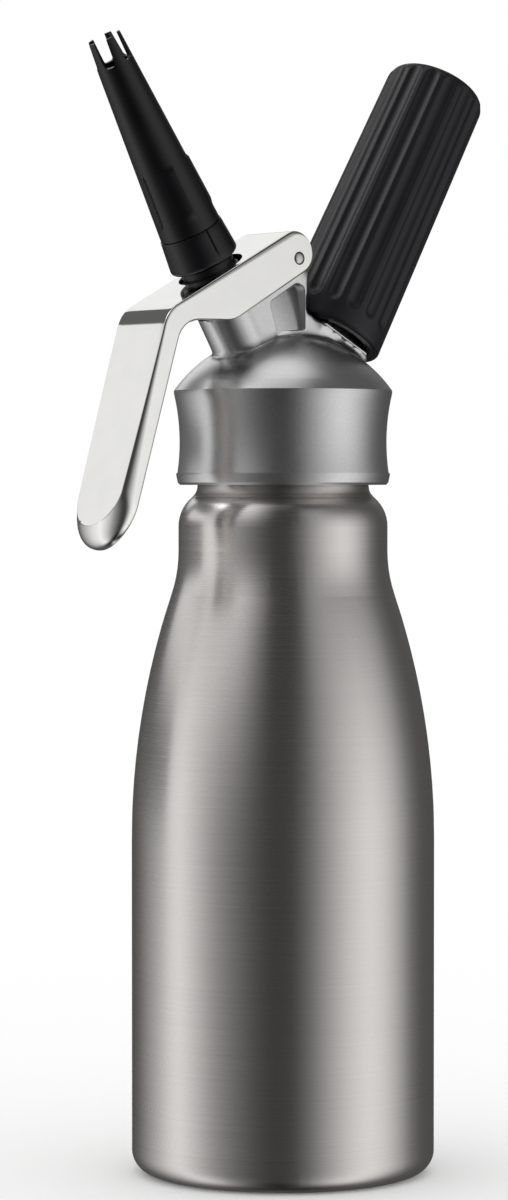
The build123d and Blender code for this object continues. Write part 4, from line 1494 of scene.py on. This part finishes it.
        def add(blank: Object, _others: list[Object]) -> None:
            """Add the remesher."""
            even = blank.modifiers.new("even", "REMESH")
            even.mode = "VOXEL"
            even.voxel_size = self.voxel * MM
            even.adaptivity = 0.0

        for outline in (self.gusset, self.pocket_fill):
            join(bm, self.slab(outline, -self.web_half, self.web_half))
        return reworked([bm], add)

    def seat_tool(self) -> BMesh:
        """Shape the room from just below the boss's end upwards, with rings on its floor."""
        floor = self.boss - self.seat_sink
        top = self.boss + self.seat_room
        rings = (0.0, self.stub_core, self.boss_radius, self.seat_radius)
        section = [(radius, floor) for radius in rings] + [(self.seat_radius, top), (0.0, top)]
        bm = turned(section, self.seat_columns)
        Tilt.CHARGER.lean(bm)
        return bm

    @staticmethod
    def seat_place(spot: Vector) -> Point:
        """Give a point's distance from the charger's axis and its height along it, in mm."""
        local = Tilt.CHARGER.frame().inverted() @ spot / MM
        return hypot(local.x, local.y), local.z

    def on_floor(self, face: BMFace, radius: float) -> bool:
        """Tell whether a face lies on the tool's floor, within a radius in mm."""
        out, height = self.seat_place(face.calc_center_median())
        return abs(height - self.boss + self.seat_sink) < CLOSE and out < radius

    def near_seat(self, spot: Vector) -> bool:
        """Tell whether a point is close to the boss's end, whose edge stays as it is."""
        out, height = self.seat_place(spot)
        return height > self.boss - self.seat_margin and out < self.seat_radius

    def upper(self, blank: BMesh) -> BMesh:
        """Fillet the casting above the ridge."""
        bm = self.remeshed(blank)
        self.trim(bm, self.cut - self.lap, True)
        smooth = {"factor": 0.5, "use_axis_x": True, "use_axis_y": True, "use_axis_z": True}
        inner = [vert for vert in bm.verts if not vert.is_boundary]
        for _ in range(self.soften):
            bmesh.ops.smooth_vert(bm, verts=inner, **smooth)
        bm.normal_update()
        hollows = set()
        for vert in inner:
            ring = [edge.other_vert(vert).co for edge in vert.link_edges]
            lift = sum(((spot - vert.co) for spot in ring), Vector()) / len(ring)
            if lift.dot(vert.normal) > self.hollow * self.voxel * MM:
                hollows.add(vert)
        for _ in range(self.grow):
            hollows |= {edge.other_vert(vert) for vert in hollows for edge in vert.link_edges}
        hollows = [vert for vert in hollows if not vert.is_boundary and not self.near_seat(vert.co)]
        for _ in range(self.fillet):
            bmesh.ops.smooth_vert(bm, verts=hollows, **smooth)
        cap(bm)
        bm = carve(bm, [self.pocket_tool(-1), self.pocket_tool(1), self.seat_tool()])
        base = (self.cut - self.lap + CLOSE) * MM
        spare = [face for face in bm.faces if all(vert.co.z < base for vert in face.verts)]
        spare += [face for face in bm.faces if self.on_floor(face, self.boss_radius)]
        bmesh.ops.delete(bm, geom=spare, context="FACES")
        return bm

    def lower(self, bm: BMesh) -> BMesh:
        """Keep the turned collar and the screwed stub as they are."""
        stub = carve(bm.copy(), [self.seat_tool()], "INTERSECT")
        self.trim(bm, self.cut, False)
        inner = [face for face in stub.faces if self.on_floor(face, self.stub_core)]
        bmesh.ops.delete(stub, geom=inner, context="FACES")
        join(bm, stub)
        return bm

    @staticmethod
    def trim(bm: BMesh, height: float, keep_upper: bool) -> None:
        """Cut a shape at a height in mm and drop one side."""
        up = Vector((0, 0, 1))
        split(bm, up * height * MM, up, clear_inner=keep_upper, clear_outer=not keep_upper)

    def build(self, finishes: Finishes) -> None:
        """Make the head and hand it to its body."""
        tools = [shape(side) for shape in (self.flank, self.relief) for side in (-1, 1)]
        blank = carve(self.copy(), tools)
        bm = self.lower(blank.copy())
        join(bm, self.upper(blank))
        Piece("head_with_fillets", "head_casting", "head", "head_metal", 32.0).settle(bm, finishes)


# Levels of the surround by bearing in degrees, low down
STRIPS = (
    (-180, 0.10), (-158, 0.08), (-142, 0.13), (-128, 0.28), (-112, 0.52), (-97, 0.82),
    (-85, 0.98), (-70, 0.66), (-53, 0.32), (-38, 0.17), (-22, 0.08), (-8, 0.05),
    (8, 0.06), (22, 0.20), (37, 0.48), (52, 0.78), (68, 0.98), (82, 0.84),
    (98, 0.50), (112, 0.20), (128, 0.10), (158, 0.08), (180, 0.08),
)
# The same from the middle up
FLAGS = (
    (-180, 0.16), (-150, 0.08), (-110, 0.10), (-90, 0.50), (-60, 0.85), (-40, 0.70),
    (-26, 0.30), (-12, 0.04), (16, 0.04), (30, 0.30), (45, 0.35), (75, 0.15),
    (110, 0.08), (140, 0.10), (165, 0.30), (180, 0.16),
)


@dataclass(frozen=True)
class SoftBox:
    """A soft box or dark flag: its level and its reach in bearing and height, in degrees."""

    level: float
    bearings: Point
    heights: Point
    edge: float = 2.0

    def window(self, bearing: Signal, height: Signal) -> Signal:
        """Be 1 inside the box and 0 outside, with a short soft edge."""
        inside = self.span(bearing, self.bearings)
        return inside * self.span(height, self.heights)

    def span(self, value: Signal, limits: Point) -> Signal:
        """Be 1 between two limits."""
        low, high = limits
        return value.smooth(low, low + self.edge) * (1.0 - value.smooth(high - self.edge, high))


SOFT_BOXES = (
    SoftBox(2.6, (-128.0, -50.0), (36.0, 66.0), 10.0),
    SoftBox(0.03, (15.0, 85.0), (48.0, 74.0), 6.0),
    SoftBox(0.92, (-190.0, -145.0), (12.0, 46.0)),
    SoftBox(0.88, (-136.0, -96.0), (7.0, 23.5)),
    SoftBox(0.12, (-145.0, -100.0), (23.0, 42.0)),
    SoftBox(0.10, (-140.0, -98.0), (-5.0, 9.0)),
)


class Studio:
    """Floor, surround of soft boxes and dark flags, world and camera."""

    azimuth = 38.0
    distance = 1060.0 * MM
    height = 180.4 * MM
    lens = 120.4
    sensor = 36.0
    dip = 1.571
    swing = 0.414
    floor_half = 30.0
    floor_cells = 8
    ball = 2.5
    ball_middle = 0.2
    ball_cells = 5
    low_level = 0.12
    low_fade = (-80.0, -55.0)
    flag_rise = (-8.0, 46.0)
    top_rise = (62.0, 80.0)

    def camera(self) -> None:
        """Put the camera at the photograph's viewing angle."""
        data = bpy.data.cameras.new("view_camera")
        data.lens = self.lens
        data.sensor_width = self.sensor
        camera = bpy.data.objects.new("view_camera", data)
        bpy.context.scene.collection.objects.link(camera)
        bearing = radians(self.azimuth)
        camera.location = (-self.distance * sin(bearing), -self.distance * cos(bearing), self.height)
        camera.rotation_euler = (radians(90.0 - self.dip), 0.0, radians(self.swing - self.azimuth))
        bpy.context.scene.camera = camera

    def floor(self) -> None:
        """Lay a plain white floor."""
        bm = bmesh.new()
        cells = self.floor_cells
        bmesh.ops.create_grid(bm, x_segments=cells, y_segments=cells, size=self.floor_half)
        sheet = self.stand(bm, "floor")
        sheet.visible_glossy = False
        paint = Paint("floor_white")
        paint.close(paint.node("ShaderNodeBsdfDiffuse", None, {"Color": (1.0, 1.0, 1.0, 1.0)}))
        sheet.data.materials.append(paint.material)

    def surround(self) -> None:
        """Hang a ball of soft boxes and dark flags that only glossy surfaces mirror."""
        bm = bmesh.new()
        bmesh.ops.create_icosphere(bm, subdivisions=self.ball_cells, radius=self.ball)
        bmesh.ops.translate(bm, verts=bm.verts, vec=(0.0, 0.0, self.ball_middle))
        ball = self.stand(bm, "soft_box_ball")
        for ray in ("camera", "diffuse", "transmission", "volume_scatter", "shadow"):
            setattr(ball, f"visible_{ray}", False)
        paint = Paint("soft_box_glow")
        place = paint.place(turn=(0.0, 0.0, radians(self.azimuth)))
        x, y, z = (paint.node("ShaderNodeSeparateXYZ", None, {"Vector": place}, axis) for axis in "XYZ")
        bearing = x.math("ARCTAN2", x, 0.0 - y) * (180 / pi)
        height = x.math("ARCSINE", (z - self.ball_middle) / self.ball) * (180 / pi)
        strips = paint.ramp(bearing, -180.0, 180.0, STRIPS)
        flags = paint.ramp(bearing, -180.0, 180.0, FLAGS)
        wall = strips * (self.low_level + (1 - self.low_level) * height.smooth(*self.low_fade))
        side = wall.blend(flags, height.smooth(*self.flag_rise))
        glow = side.blend(1.0, height.smooth(*self.top_rise))
        for box in SOFT_BOXES:
            glow = glow.blend(box.level, box.window(bearing, height))
        paint.close(paint.node("ShaderNodeEmission", None, {"Color": glow, "Strength": 1.0}))
        ball.data.materials.append(paint.material)

    @staticmethod
    def stand(bm: BMesh, name: str) -> Object:
        """Turn a bmesh into an object of the scene."""
        made = stand_up(bm, name)
        return made

    def world(self) -> None:
        """Fill the room with plain white light."""
        scene = bpy.context.scene
        scene.world = bpy.data.worlds.new("white_room")
        scene.world.use_nodes = True
        paint = Paint("white_room", scene.world.node_tree)
        inputs = {"Color": (1.0, 1.0, 1.0, 1.0), "Strength": 1.0}
        paint.close(paint.node("ShaderNodeBackground", None, inputs), "ShaderNodeOutputWorld")
        scene.world.cycles_visibility.glossy = False
        scene.view_settings.view_transform = "Standard"

    def build(self) -> None:
        """Set up the whole studio."""
        self.world()
        self.floor()
        self.surround()
        self.camera()
        LOG.info("studio ready")


PIECES = (HeadCasting, RivetPin, ValveSpring, LeverHandle, ScrewAdapter, NozzleTip, ChargerHolder)


def main() -> None:
    """Build and dress the pieces in order, then the studio."""
    logging.basicConfig(level=logging.INFO, format="%(name)s: %(message)s")
    finishes = Finishes()
    for kind in PIECES:
        kind().build(finishes)
    finishes.dress_nodes()
    Studio().build()


if __name__ == "__main__":
    main()
